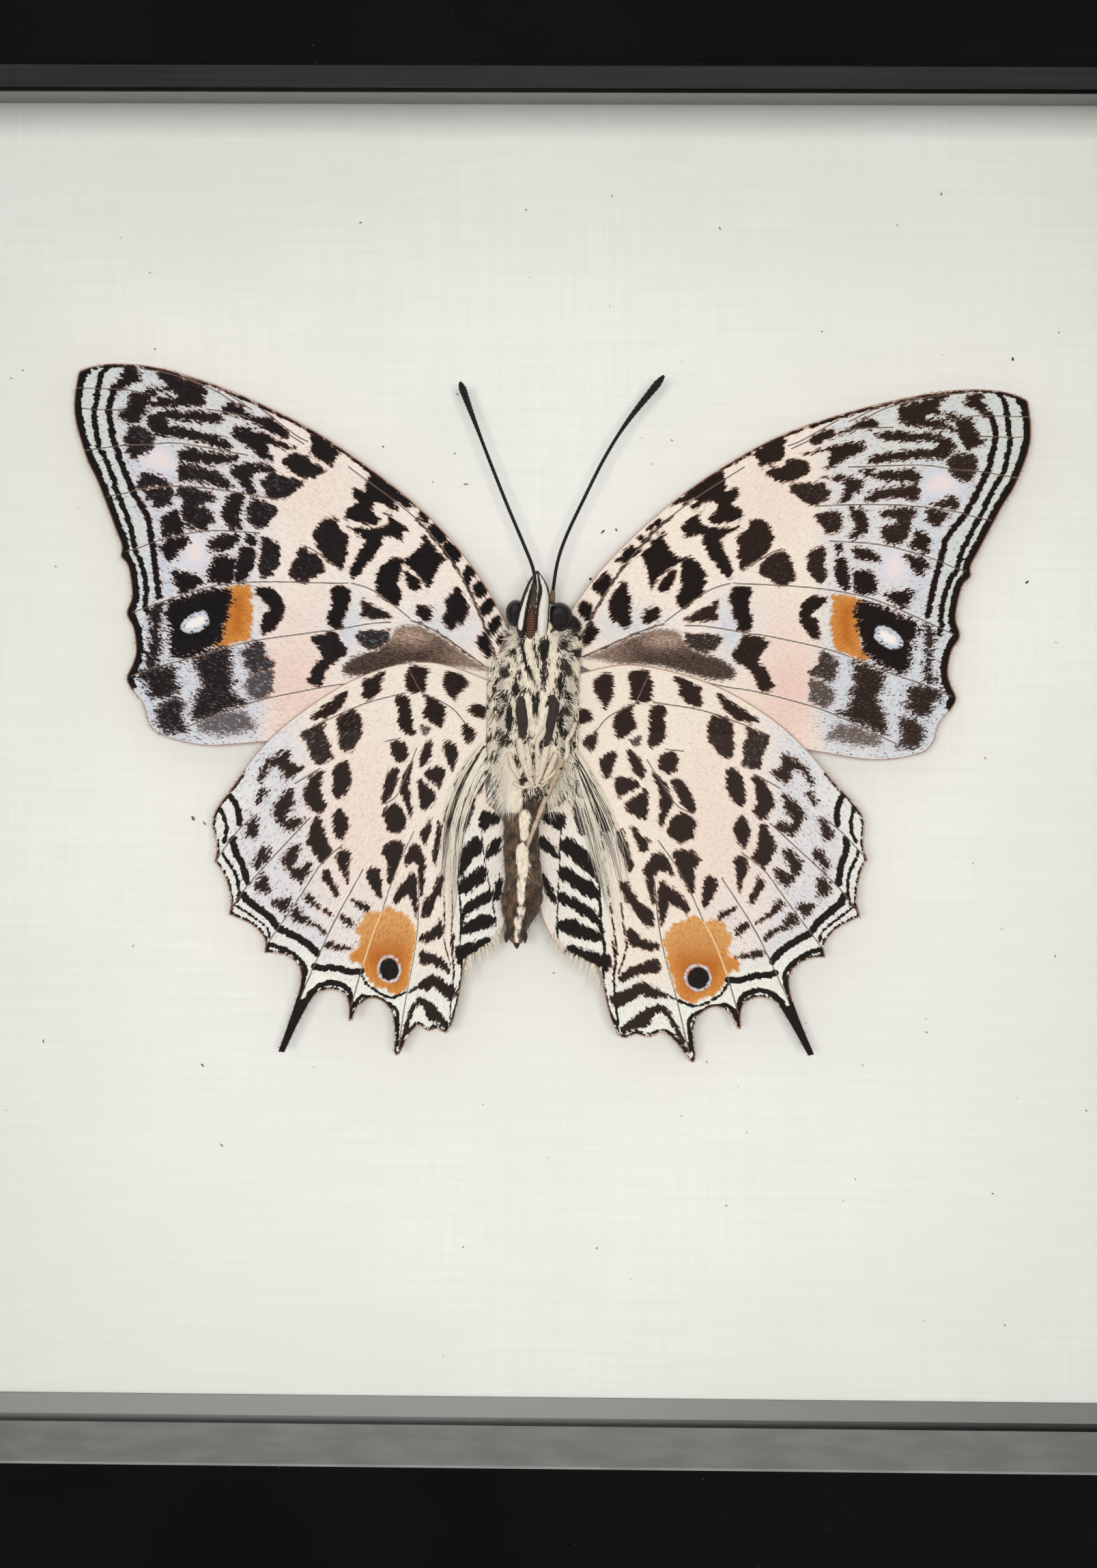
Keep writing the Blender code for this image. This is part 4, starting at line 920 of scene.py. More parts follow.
HINDWING_MARKS = [
    (0.5, (2.65, -0.7), (3.15, -0.6), (3.6, -2), (3.2, -2.9), (2.75, -2.1)),
    (0.5, (3, -3.4), (3.5, -3.3), (4.2, -4.6), (4.1, -5.6), (3.4, -5.3), (3, -4.3)),
    (0.5, (4.7, -3.2), (5.4, -3.6), (6, -4.7), (5.5, -5.1), (4.9, -4.2)),
    (0.25, (5.9, 6.8), (5.9, 5.2), (5.3, 4.2), (5.1, 4.6), (4.4, 6), (5, 6.9)),
    (0.25, (7.1, 6.9), (8.1, 7.25), (8.7, 7.15), (8.8, 6.7), (9, 6.2), (8.9, 5), (8.6, 4.75), (7.4, 4.85),
     (7.3, 6)),
    (0.25, (10.6, 6.6), (11, 6.75), (12.2, 6.2), (12.8, 5.9), (12.7, 5.4), (12.9, 4.8), (12.6, 4.4),
     (12, 4.55), (11.1, 5.3), (11.2, 5.8)),
    (0.25, (3.2, 4.1), (4, 4.15), (4.4, 3.4), (3.6, 3), (3.2, 3.2)),
    (0.25, (3.65, 1.7), (4.6, 2.4), (4.7, 1.6), (4.25, 0.85)),
    (0.25, (6, 3.6), (7.5, 4.65), (7.4, 4), (7.75, 3), (7.6, 2.6), (6.4, 1.9)),
    (0.25, (8.9, 4.3), (9.3, 4.6), (9.9, 4.5), (10.05, 4), (9.9, 3.5), (10.05, 2.4), (9.9, 1.8),
     (9.1, 1.25), (8.6, 1.5), (8.8, 2.2), (8.75, 3.7)),
    (0.6, (7.2, 1.8), (7.6, 1.9), (8, 2.1), (8.1, 1.7), (7.8, 1.3)),
    (0.25, (5, 0.3), (5.4, 0.75), (6, 0.9), (6.2, 0.5), (5.9, -0.6), (5.35, -1.3), (4.95, -0.2)),
    (0.25, (7.1, 1), (7.9, 0.5), (8.4, -0.5), (8.35, -1.2), (7.5, -0.6)),
    (0.25, (9.5, 0.3), (9.9, 0.8), (10.5, 0.9), (11, 0.6), (10.9, -0.4), (10.4, -0.8), (9.6, -0.4)),
    (0.25, (6, -1.6), (6.3, -1.1), (7.4, -1.2), (8, -1.6), (7.8, -2), (6.8, -2.5), (6.5, -2.8)),
    (0.25, (6.9, -3.2), (8.1, -2.4), (8.5, -2), (8.75, -2.6), (8.7, -3.9), (8.4, -4.4), (7.3, -3.9)),
    (0.25, (9, -0.6), (10.1, -1.6), (10.3, -2.1), (10.6, -2.6), (10.6, -3.2), (10, -4.5), (9.8, -5.1),
     (9.5, -4.3), (9.7, -3.8), (9.55, -3.2), (9.7, -2.8), (9.6, -2.2)),
    (0.25, (10.5, -1.4), (10.9, -1.15), (11.4, -1.4), (12.1, -2.4), (12.45, -3.6), (12.3, -3.85),
     (11.8, -3.6), (11, -2.5)),
    (0.25, (10.4, -4.6), (11.3, -3.85), (12.5, -4.5), (12.3, -5.1), (12.3, -5.7), (11.9, -6.1),
     (11.3, -6.2), (10.7, -6), (10.3, -5.4)),
    (0.25, (10.75, -6.9), (12, -6.8), (12.8, -7.6), (12.3, -8.4), (12.4, -9.6), (12.2, -10.1),
     (11.5, -9.2), (10.9, -7.7)),
    (0.25, (8.6, -7.9), (9.3, -6.9), (10.1, -7.3), (10.7, -8.4), (10.6, -8.75), (10.1, -8.5),
     (9.6, -8.45), (9.3, -8.8), (9.3, -10.3), (9.2, -11), (8.95, -10.6), (8.5, -8.6)),
    (0.25, (9.9, -9.2), (10.9, -10), (11.4, -10.3), (12, -11.4), (11.7, -11.7), (10.7, -11),
     (10.4, -11.1), (9.8, -12.8), (9.5, -10)),
    (0.25, (6.6, -9.3), (7, -9.3), (7.4, -9.7), (8.1, -10.9), (9.1, -11.6), (9.25, -12.7), (8.7, -12.7),
     (8.2, -12.3), (7.5, -11.1), (7.1, -10.9), (6.6, -9.8)),
    (0.25, (6.3, -5.4), (6.7, -5.2), (6.95, -5.8), (7.6, -7.9), (7.4, -8.5), (7.1, -8.1), (6.3, -5.9)),
    (0.25, (7.4, -4.9), (8.3, -5.7), (8.9, -6.2), (8.4, -7), (7.8, -6.2)),
    (0.25, (7.2, -13.4), (7.4, -12.9), (7.7, -13.2), (8.6, -14), (9.7, -14.2), (9.5, -14.6), (8.4, -14.6),
     (8, -14.3), (7.6, -14.3), (7.3, -14)),
    (0.25, (6.6, -17.1), (7.2, -16.2), (9, -15.55), (9.6, -15.5), (9.8, -15.9), (9.6, -16.4),
     (8.3, -16.4)),
    (0.25, (6.3, -18), (7, -17.9), (8.3, -17.25), (9.6, -17.8), (11.2, -18.6), (9.9, -18.35),
     (8.7, -18.3), (8.4, -18), (6.5, -19.1), (5.9, -18.5)),
    (0.25, (6.7, -20.9), (7.1, -20.5), (8.2, -19.6), (9.5, -19), (10.1, -19.05), (10.9, -20),
     (11.8, -21.9), (12.1, -23.1), (11, -21.3), (10.8, -20.7), (10, -19.6), (9.5, -19.6), (9.1, -20),
     (8.9, -20.5), (7.3, -20.9), (7, -21.2)),
    (0.35, (13.3, 2.8), (13.5, 3.5), (14, 3.8), (15.2, 3.2), (15.3, 2), (15.4, 1.2), (15.2, 0.5),
     (14.8, 0.4), (14.2, 0.7), (13.9, 1.2), (13.4, 1.8)),
    (0.25, (14, 5.35), (14.6, 5.2), (16.4, 4), (17.2, 3.3), (15.9, 3.3), (14.7, 4.1)),
    (0.4, (16.3, 2.9), (17.6, 2.4), (18.1, 2), (17.7, 0.9), (17.4, -0.3), (16.9, -0.5), (16.4, -0.2),
     (15.95, 0), (16.1, 0.6), (16.1, 1.2), (16.4, 2.3)),
    (0.25, (18.2, -0.5), (18.8, -0.5), (19.1, 0), (19, 0.5), (19.3, 0.8), (20.3, 0.3), (20.8, 0.1),
     (21.3, -0.9), (21.7, -1.4), (21.4, -1.65), (20.8, -0.8), (20.3, -0.5), (19.9, -0.6), (19.6, -1.55),
     (18.4, -0.9)),
    (0.25, (21.1, -2.2), (21.5, -2.2), (21.95, -3.2), (21.2, -2.7)),
    (0.25, (15.1, -0.3), (16, -0.9), (16.2, -2.1), (16.4, -2.7), (15.8, -3.3), (14.8, -2), (14.85, -0.7)),
    (0.25, (16.8, -1.1), (17.4, -1.1), (18.2, -2.1), (18.5, -3.4), (17.5, -4.4), (16.9, -3.6),
     (17.2, -3.1), (17.1, -1.9)),
    (0.25, (19.1, -2.5), (19.6, -2.4), (20.9, -3.8), (20.5, -4.9), (20, -5.6), (19, -5.2), (18.7, -4.7),
     (19.2, -4.55), (19.7, -4.7), (20, -4.5), (19.3, -3.5), (19.3, -3)),
    (0.25, (22.1, -4.3), (22.6, -4.4), (23.15, -5.5), (22.5, -5.9), (22.1, -4.9)),
    (0.25, (16, -4), (16.6, -4.9), (16.5, -6.2), (16.2, -6.6), (15.5, -5.7), (15.4, -5)),
    (0.25, (17.4, -4.9), (17.8, -4.7), (18.2, -5.2), (18.7, -6.6), (18.4, -7.2), (17.8, -8.3),
     (17.4, -7.9), (17, -7.6), (16.9, -7.1), (17.2, -6.5)),
    (0.25, (19.2, -6.9), (19.7, -6.6), (20.2, -7), (20.8, -8), (19.8, -9.5), (19.3, -9.6), (18.5, -8.3),
     (19, -8.25), (19.5, -8.5), (19.9, -8.5), (19.8, -8.1)),
    (0.25, (21.6, -6.9), (22, -6.6), (22.8, -7.5), (22.9, -8), (22.5, -8.3), (21.6, -7.2)),
    (0.25, (22, -9), (22.5, -8.8), (23.05, -9.8), (22.4, -10.4), (21.95, -10.1)),
    (0.25, (15.4, -7.6), (15.9, -7.2), (16.4, -7.5), (16.6, -8.1), (16.2, -9.1), (16.1, -9.7),
     (15.9, -9.9), (15.7, -9.4), (15.7, -8.7)),
    (0.25, (17.3, -8.7), (17.9, -9.4), (17.3, -10.3), (17.1, -10.8), (16.8, -11), (16.6, -10.6),
     (17.2, -9.4)),
    (0.25, (13.1, -9.2), (13.5, -8.8), (14, -9), (14.2, -9.6), (13.4, -11.1), (13.1, -11.2), (13, -10.5)),
    (0.25, (14.2, -12), (14.5, -11.6), (15.6, -11.2), (15.4, -11.6), (14.5, -12.2)),
    (0.25, (17.3, -12.3), (18.4, -11.5), (18.6, -11), (19, -10.6), (19.4, -10.8), (19.2, -11.3),
     (17.8, -12.2), (17.3, -12.5)),
    (0.25, (15.6, -13.2), (15.9, -12.7), (16.4, -12.5), (16.7, -12.7), (15.9, -13.4)),
    (0.25, (17.8, -13.7), (18.2, -13.2), (18.8, -12.9), (19.6, -12.1), (19.9, -11.6), (20.4, -11.9),
     (20.5, -12.4), (20, -12.8), (18.8, -13.2), (18, -13.9)),
    (0.25, (20.4, -11), (21.6, -10.9), (21.7, -11.3), (21, -12)),
    (0.25, (15.7, -15.2), (17.5, -14.5), (17.9, -14.8), (17.6, -15.1)),
    (0, (0.5, -4.2), (0.9, -3.9), (2.1, -4), (2.1, -5), (1.7, -5.2), (0.7, -4.6)),
    (0, (0.4, -5.8), (1.2, -6.4), (1.7, -7.4), (0.5, -6.7)),
    (0, (2.05, -6.2), (2.6, -5.9), (3, -6.3), (4.1, -7.1), (4.7, -8.5), (4.95, -9.3), (4.5, -9),
     (2.8, -7.4), (2.2, -7.1)),
    (0, (1.85, -8.4), (2.3, -8.2), (2.9, -8.6), (4.7, -9.7), (5, -10.6), (3.9, -10.4), (3.3, -9.9),
     (2.1, -9.1)),
    (0, (1.9, -10.2), (2.4, -10.4), (3.6, -11), (4.9, -12), (5.2, -13.2), (4.8, -12.6), (3, -11.4),
     (1.9, -10.9)),
    (0, (1.8, -12.5), (3, -12.3), (3.6, -12.7), (4.8, -13.3), (5.1, -13.8), (3.8, -13.7), (1.9, -13)),
    (0, (2.6, -14.4), (3.9, -14.8), (5.1, -15.2), (5.1, -15.9), (4.5, -15.8), (2.7, -15)),
    (0, (0.6, -8.7), (1.5, -10.4), (1.6, -11), (1.2, -10.7), (0.6, -9.6)),
    (0, (5.4, -15.1), (5.8, -15.1), (5.85, -15.8), (5.6, -16.3), (5.3, -15.9)),
]
# Soft grey-brown streaks under the long hair beside the body.
HINDWING_STREAKS = [
    (0.2, (2.2, -0.9), (2.6, -0.8), (2.9, -1.6), (2.9, -2.5), (2.5, -2.5)),
    (0.2, (3, -3.2), (3.4, -3.1), (4.1, -5), (3.7, -5.6), (3, -4)),
    (0.2, (4.3, -3.6), (4.9, -3.2), (5.9, -4.7), (5.8, -5.3), (5.2, -5.2)),
    (0.2, (3.3, 0.2), (3.9, -0.5), (4.9, -2.2), (4.7, -2.5), (4.1, -2.2), (3.8, -1.3), (3.4, -0.5)),
]
HINDWING_ORANGE = [
    ((10, -13.9), (10.3, -13.2), (10.9, -12.5), (11.6, -12.3), (12.2, -11.9), (12.7, -12), (13.2, -12.3),
     (14, -12.2), (14.7, -12.4), (14.9, -13), (15.4, -13.6), (15.1, -14.3), (15.2, -15), (15.8, -15.2),
     (16, -15.8), (15.8, -16.2), (15.1, -16.3), (14.9, -17), (14.5, -17.7), (13.8, -18.2), (13.1, -18.4),
     (12.4, -18.8), (11.6, -18.6), (11, -18), (10.8, -17.2), (10.1, -14.6)),
]
HINDWING_LINES = [
    (0.13, (2, -4), (1.7, -12), (1.75, -13.8)),
    (0.21, (5, -9.3), (5.1, -12.5), (5.4, -14.5), (5.3, -16), (5.4, -17.5), (5.8, -19.3), (6.4, -20.8)),
    (0.19, (6, -14), (6.3, -15.5), (6.15, -17), (6.5, -20.5)),
    (0.13, (6.7, -11), (6.9, -13), (7.1, -14.5), (6.5, -16.5)),
    (0.13, (5, -5), (6.4, -15)),
    (0.21, (11.2, -18.6), (12.4, -19), (13.2, -18.85), (14.5, -18.1), (15, -17.3)),
    (0.32, (12.2, -22.5), (12.05, -20.5), (12.15, -20), (12.6, -19.6), (14, -19.05), (15.1, -18.95),
     (15.8, -19.8), (15.95, -20.5)),
    (0.53, (15.1, -16.9), (16, -16.95), (16.7, -16.7), (17.5, -16.55), (18.2, -16.55), (18.8, -16.35)),
    (0.59, (18.5, -15.4), (19.6, -14.3), (21.5, -13.2)),
    (0.59, (21.7, -12.9), (22.1, -12.3), (23.7, -10.9), (24, -10.3)),
    (0.53, (23.6, -9.3), (23.8, -7.8), (24.1, -7), (24.2, -6.2), (24.1, -5.8)),
    (0.48, (23.5, -4.7), (23.4, -4), (23.5, -3.2), (23.8, -2.5)),
    (0.43, (15.9, -19.9), (16.1, -18.4), (17.3, -17.75), (18.7, -18.1), (19.9, -19.6), (21.6, -22.7)),
    (0.37, (21.6, -22.7), (20, -18.6), (19.6, -17.3), (19.5, -16.4), (20.4, -15.3), (21.8, -14.6),
     (22.3, -14.5), (22.5, -14.9)),
    (0.21, (22.2, -13.9), (22.3, -13.3), (22.8, -12.7), (24.7, -11.2), (25.1, -11)),
    (0.13, (22.6, -14.1), (23.1, -13.1), (25.2, -11.6)),
    (0.27, (24.6, -10.9), (24.35, -10.2), (24.4, -8.6), (25, -7.2), (25.1, -6.8)),
    (0.32, (24.9, -6), (24.6, -5.3), (24.5, -4.6), (24.7, -3.4)),
    (0.14, (6.9, -21.2), (7.7, -21), (8.5, -21.1), (9, -21.2), (9.6, -20.95), (10.3, -20.95),
     (10.9, -21.4), (11.6, -22.3), (12.1, -23.1)),
]
HINDWING_VEINS = [
    ((8.7, 6.9), (7.7, 4.7), (7.4, 4.5), (5.6, 3.6), (4.5, 2.3)),
    ((9, 4.75), (13, 4.1), (16.5, 2.9)),
    ((10, 1.1), (11.5, 0.95)),
    ((8.6, 0.3), (9.9, -1.8), (11, -3.3), (12.2, -3.9)),
    ((9.5, -6), (10.8, -7.8), (12, -9.9), (13.2, -12.5), (14, -14), (15, -16.6), (15.9, -19.6)),
    ((14.5, -8.9), (17.3, -13.3), (19.8, -18.5)),
    ((16, -6.9), (17.8, -8.3), (19.3, -10.3), (22.4, -14.4)),
    ((17, -0.8), (19, -1.9)),
    ((22, -4), (23.6, -5.1), (25.8, -7.4)),
    ((18.2, -4.6), (23, -9), (24.6, -10.8), (25.3, -11.8)),
    ((9.3, -9.5), (9.6, -12.5), (10.1, -15), (11, -18.2), (12.1, -22.8)),
]
hind_outline = smooth_outline(RIGHT_HINDWING)
net, net_faces, net_rim = wing_net(hind_outline, MESH_STEP)
net_u, net_v = net.T
mark, tone = depth_inside(net, HINDWING_MARKS)
zebra = soft_step(net_u, 6.0, 5.0) * soft_step(net_v, -3.6, -4.6)
mark += 0.10 * zebra + 0.08 * soft_step(net_u, 10.0, 9.0) * soft_step(net_v, -12.5, -13.5)
streak, streak_tone = depth_inside(net, HINDWING_STREAKS)
streak += 0.05
tone = np.where(streak > mark, streak_tone, tone)
mark = np.maximum(mark, streak)
line = along_lines(net, HINDWING_LINES)
first_outer = int(np.argmin(np.linalg.norm(hind_outline - (22.5, -0.6), axis=1)))
last_outer = int(np.argmin(np.linalg.norm(hind_outline - (5.95, -20.2), axis=1)))
edge = reach(net, hind_outline, True)
to_outer = reach(net, hind_outline[first_outer:last_outer])
line = np.maximum(line, 0.085 - np.abs(to_outer - 0.15))
pupil_off = (net - (12.76, -16.85)) / (0.9, 0.93)
pupil_deep = (1.0 - np.hypot(pupil_off[:, 0], pupil_off[:, 1])) * 0.8
line = np.maximum(line * 2.2, pupil_deep * 1.6)
tone = np.where(line > mark, 0.0, tone)
mark = np.maximum(mark, line)
tail = soft_step(net_u, 18.4, 19.1) * soft_step(net_v, -18.5, -19.3)
mark = np.maximum(mark, 1.2 * tail - 0.6)
tone = tone * (1.0 - tail)
vein = -along_lines(net, [(VEIN_WIDTH, *route) for route in HINDWING_VEINS]) + VEIN_WIDTH / 2
lobe = soft_step(net_v, -14.6, -16.5) * soft_step(to_outer, 5.5, 2.0)
margin = soft_step(to_outer, 2.3, 1.2) * soft_step(net_v, 0.5, -4.0)
green = np.clip(zebra * soft_step(net_u, 1.0, 4.0) * 0.9 + 0.7 * lobe + 0.6 * margin, 0.0, 1.0)
cool = soft_step(net_u, 16.0, 20.0) * 0.75 + soft_step(to_outer, 5.0, 2.0) * 0.5
cool += soft_step(net_v, -2.5, -9.0) * soft_step(net_u, 7.0, 4.5) * 0.3
cool += 0.5 * patch(net, (15.0, -12.5), 2.0, 2.5)
pink = 0.35 * patch(net, (13.5, -4.0), 3.0, 8.0) + 0.35 * patch(net, (18.0, -8.0), 6.0, 6.0)
orange = inside_of(net, HINDWING_ORANGE)
dusty = 0.45 * soft_step(net_u, 17.5, 20.0) * soft_step(net_v, -15.0, -12.0)
dusty += 0.5 * patch(net, (15.3, -13.5), 1.6, 2.0) + 0.12
dusty *= 1.0 - 0.85 * soft_step(line, -0.35, -0.1)
ring = -np.abs(np.hypot(*(net - (12.72, -16.78)).T) - 0.98) + 0.08
warm = 1.0 - 0.9 * np.clip(zebra + lobe + margin, 0, 1)
waves = 0.06 * np.sin(net_u * 0.5 + net_v * 0.2) * soft_step(edge, 0.0, 3.0)
ridges = -0.07 * np.exp(-(np.maximum(vein, 0.0) / 0.11) ** 2) * soft_step(edge, 0.05, 0.4)
values = {"mark": mark, "tone": tone, "vein": vein, "green": green, "pink": np.clip(pink, 0, 1),
          "cool": np.clip(cool, 0, 0.9), "smudge": np.full(len(net), -2.0),
          "root": soft_step(net_v, -16.8, -12.8), "orange": orange, "pupil": ring,
          "lilac": np.full(len(net), -2.0), "edge": edge + 0.5 * tail, "warm": warm, "dusty": dusty}
grain = scale_rows(net, (1.0, 5.0))
# The two finishes are lit copies: the right brown is painted warmer, the left darker, as painted light.
hindwing_right_warm_lit = wing_finish("hindwing_scales_right", BLACK, paint(44, 31, 25), FADED,
                             paint(236, 223, 208), paint(232, 206, 194), paint(212, 212, 219),
                             paint(232, 231, 219))
hindwing_left_cool_lit = wing_finish("hindwing_scales_left", BLACK, paint(38, 27, 22), FADED,
                            paint(235, 223, 210), paint(232, 207, 196), paint(212, 213, 220),
                            paint(232, 231, 221))
hindwing_right = wing_piece("hindwing_right_scaled", net, net_faces, net_rim, HINDWING_FRONT,
                            waves + ridges, values, grain, hindwing_right_warm_lit)
net_left = to_left_side(net, HINDWING_MATCHES)
hindwing_left = wing_piece("hindwing_left_scaled", net_left, net_faces, net_rim, HINDWING_FRONT,
                           waves + ridges, values, grain + 7.3, hindwing_left_cool_lit)
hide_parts("hindwing_right")
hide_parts("hindwing_left")

# ---- Body ------------------------------------------------
# Head, thorax and abdomen of the dried insect, seen from below.  Horny plates covered with
# scales: cream and black lines on the thorax, and a pale band down the brown abdomen.
BODY_SECTIONS = [
    (13.2, -0.15, 0.15, 15.5, 16.4), (12.8, -0.10, 0.60, 15.1, 16.7), (12.3, 0.05, 1.00, 14.9, 16.9),
    (11.6, 0.10, 1.45, 14.8, 17.2), (10.8, 0.12, 1.55, 14.75, 17.3), (10.3, 0.08, 1.60, 14.7, 17.35),
    (9.9, 0.05, 1.75, 14.6, 17.5), (9.2, 0.05, 2.05, 14.42, 17.8), (8.3, 0.05, 2.40, 14.3, 18.2),
    (7, 0.00, 2.60, 14.2, 18.6), (5, -0.05, 2.65, 14.2, 18.8), (3, -0.10, 2.60, 14.2, 18.8),
    (1, -0.20, 2.40, 14.3, 18.5), (-0.8, -0.35, 2.00, 14.5, 17.9), (-2.2, -0.60, 1.66, 14.7, 17.2),
    (-3.2, -0.85, 1.45, 14.7, 16.8), (-5, -1.10, 1.38, 14.7, 16.8), (-7, -1.08, 1.42, 14.7, 16.8),
    (-9, -0.90, 1.46, 14.7, 16.8), (-10.5, -1.05, 1.64, 14.7, 16.8), (-11.6, -1.15, 1.42, 14.75, 16.75),
    (-12.6, -1.35, 0.95, 14.95, 16.6), (-13.4, -1.48, 0.72, 15.15, 16.4),
    (-13.9, -1.42, 0.45, 15.3, 16.2), (-14.1, -1.40, 0.15, 15.6, 15.9),
]
CREAM_SCALES = [
    ((-2, 10.2), (-1.3, 10.15), (-1.25, 10.6), (-1.6, 10.7), (-2, 10.6)),
    ((1, 10), (1.7, 9.9), (2.4, 10), (2.4, 10.4), (1.7, 10.45), (1, 10.4)),
    ((-1.75, 9.9), (-1.45, 9.95), (-1.1, 8.6), (-0.75, 7.3), (0, 6), (-0.15, 5.7), (-0.7, 6.3),
     (-1.2, 7.4), (-1.5, 8.7)),
    ((-0.8, 9.6), (-0.45, 9.7), (-0.2, 8.6), (0.3, 6.6), (0.15, 6.2), (-0.2, 6.9), (-0.6, 8.2)),
    ((0.95, 10), (1.55, 10), (1.6, 8.6), (1.45, 7.2), (1.2, 5.8), (0.85, 5.8), (0.95, 7), (1.1, 8.4)),
    ((-0.85, 5.4), (-0.5, 5.45), (-0.2, 4.2), (0.1, 2.5), (-0.02, 2.2), (-0.35, 3.2), (-0.7, 4.4)),
    ((0.2, 5.5), (0.8, 5.6), (0.65, 4.2), (0.3, 2.6), (0.12, 2.2), (0.12, 3.6)),
    ((-1.2, -3.7), (-0.8, -3.5), (-0.4, -3.7), (-0.5, -4.8), (-0.55, -5.8), (-1.1, -5.8), (-1.2, -4.8)),
    ((-1.45, -6.4), (-1, -6.1), (-0.6, -6.4), (-0.55, -7.6), (-0.65, -8.7), (-1.2, -8.7), (-1.4, -7.6)),
    ((-1.35, -8.95), (-0.8, -8.9), (-0.8, -9.9), (-0.9, -10.8), (-1.25, -10.8), (-1.35, -9.9)),
    ((-1.35, -11.1), (-0.8, -11.1), (-0.85, -11.6), (-1.25, -11.6)),
    ((-1.6, -11.9), (-1.05, -11.9), (-1.1, -12.7), (-1.45, -12.8)),
    ((-1.6, -13), (-1.35, -13), (-1.3, -13.8), (-1.5, -13.9)),
    ((-0.6, -7.8), (-0.45, -7.65), (-0.3, -7.8), (-0.45, -7.95)),
    ((-3.7, 1), (-2.4, 1.2), (-1.9, -0.3), (-1.15, -1.8), (-1.1, -3.4), (-1.9, -3.7), (-2.6, -2.6),
     (-3.3, -0.8)),
]
BLACK_SCALES = [
    ((0.25, 9.3), (0.5, 9.6), (1, 9.6), (1, 9), (0.82, 8.3), (0.7, 7.4), (0.65, 6), (0.5, 6.8),
     (0.48, 7.9), (0.35, 8.6)),
    ((-1.4, 9.9), (-1.15, 9.9), (-0.7, 8), (-0.15, 6.7), (-0.25, 6.45), (-0.8, 7.5), (-1.15, 8.7)),
    ((0.02, 5.6), (0.22, 5.6), (0.2, 4.6), (0.1, 3.8), (0, 4.6)),
    ((2, 8.3), (2.2, 8.6), (2.45, 8.3), (2.2, 8)),
    ((-2.4, 9.3), (-2.15, 9.5), (-1.95, 9.2), (-2.2, 9)),
    ((-1.95, 8.7), (-1.7, 8.95), (-1.45, 8.7), (-1.7, 8.4)),
    ((-2.55, 7.7), (-2.3, 8), (-2, 7.7), (-2.3, 7.4)),
    ((-1.9, 5.8), (-1.5, 6.4), (-1.2, 5.8), (-1.5, 5.3)),
    ((1.6, 6.4), (1.9, 7.2), (2.2, 6.4), (1.9, 5.6)),
    ((-2.4, 3.6), (-2, 4.6), (-1.8, 3.6), (-2, 2.4)),
    ((1.7, 3), (2, 4), (2.3, 3), (2, 2)),
    ((-0.3, 5.2), (-0.1, 5.3), (0, 4.2), (-0.1, 4)),
]
ABDOMEN_JOINTS = [-3.6, -4.9, -6.1, -7.4, -8.8, -10.0, -11.1, -12.0, -12.9]


def ring_faces(rings, sides):
    """Faces between rings of points, each ring with the same number of them."""
    faces = []
    for first in range(0, (rings - 1) * sides, sides):
        for k in range(sides):
            after = (k + 1) % sides
            faces.append((first + k, first + after, first + sides + after, first + sides + k))
    return faces


def lofted(name, sections, finish, sides=64, steps=8, change=None):
    """A closed body of oval rings, head to tail, with an optional change to each ring point."""
    rings = smooth_path(sections, steps)
    points = []
    for v, middle, half, front, back in rings:
        for k in range(sides):
            turn = 2 * math.pi * k / sides
            u = middle + max(half, 0.02) * math.cos(turn)
            depth = (front + back) / 2 + (back - front) / 2 * math.sin(turn)
            points.append((u, v, depth))
    points = np.array(points)
    if change is not None:
        points = change(points, np.repeat(rings, sides, axis=0))
    faces = ring_faces(len(rings), sides)
    faces.append(tuple(range(sides)))
    faces.append(tuple(range(len(rings) * sides - 1, (len(rings) - 1) * sides - 1, -1)))
    return new_piece(name, points, faces, finish)


def new_piece(name, points, faces, finish):
    """A piece from places (u, v, depth) inside the frame."""
    world = (points - (0.0, 0.0, HALF_DEPTH)) * MM
    world = np.column_stack([world[:, 0], world[:, 2], world[:, 1] + HALF_OUTER * MM])
    return joined(name, world, faces, finish)


def flat_places(piece):
    """Places (u, v) of a piece's points."""
    world = np.zeros(len(piece.data.vertices) * 3)
    piece.data.vertices.foreach_get("co", world)
    world = world.reshape(-1, 3) / MM
    return np.column_stack([world[:, 0], world[:, 2] - HALF_OUTER])


def plate_relief(points, rings):
    """Abdomen rings stand a little proud of their joints, and the thorax has a middle groove."""
    v = points[:, 1]
    middle = (rings[:, 3] + rings[:, 4]) / 2
    pinch = np.zeros(len(v))
    for joint in ABDOMEN_JOINTS:
        pinch += np.exp(-((v - joint) / 0.16) ** 2)
    squeeze = 1.0 - 0.07 * pinch
    points[:, 0] = rings[:, 1] + (points[:, 0] - rings[:, 1]) * squeeze
    points[:, 2] = middle + (points[:, 2] - middle) * squeeze
    groove = np.exp(-((points[:, 0] - 0.05) / 0.25) ** 2) * soft_step(v, 1.0, 3.0) * soft_step(v, 9.5, 8.0)
    points[:, 2] += np.where(points[:, 2] < middle, 0.25 * groove, 0.0)
    return points


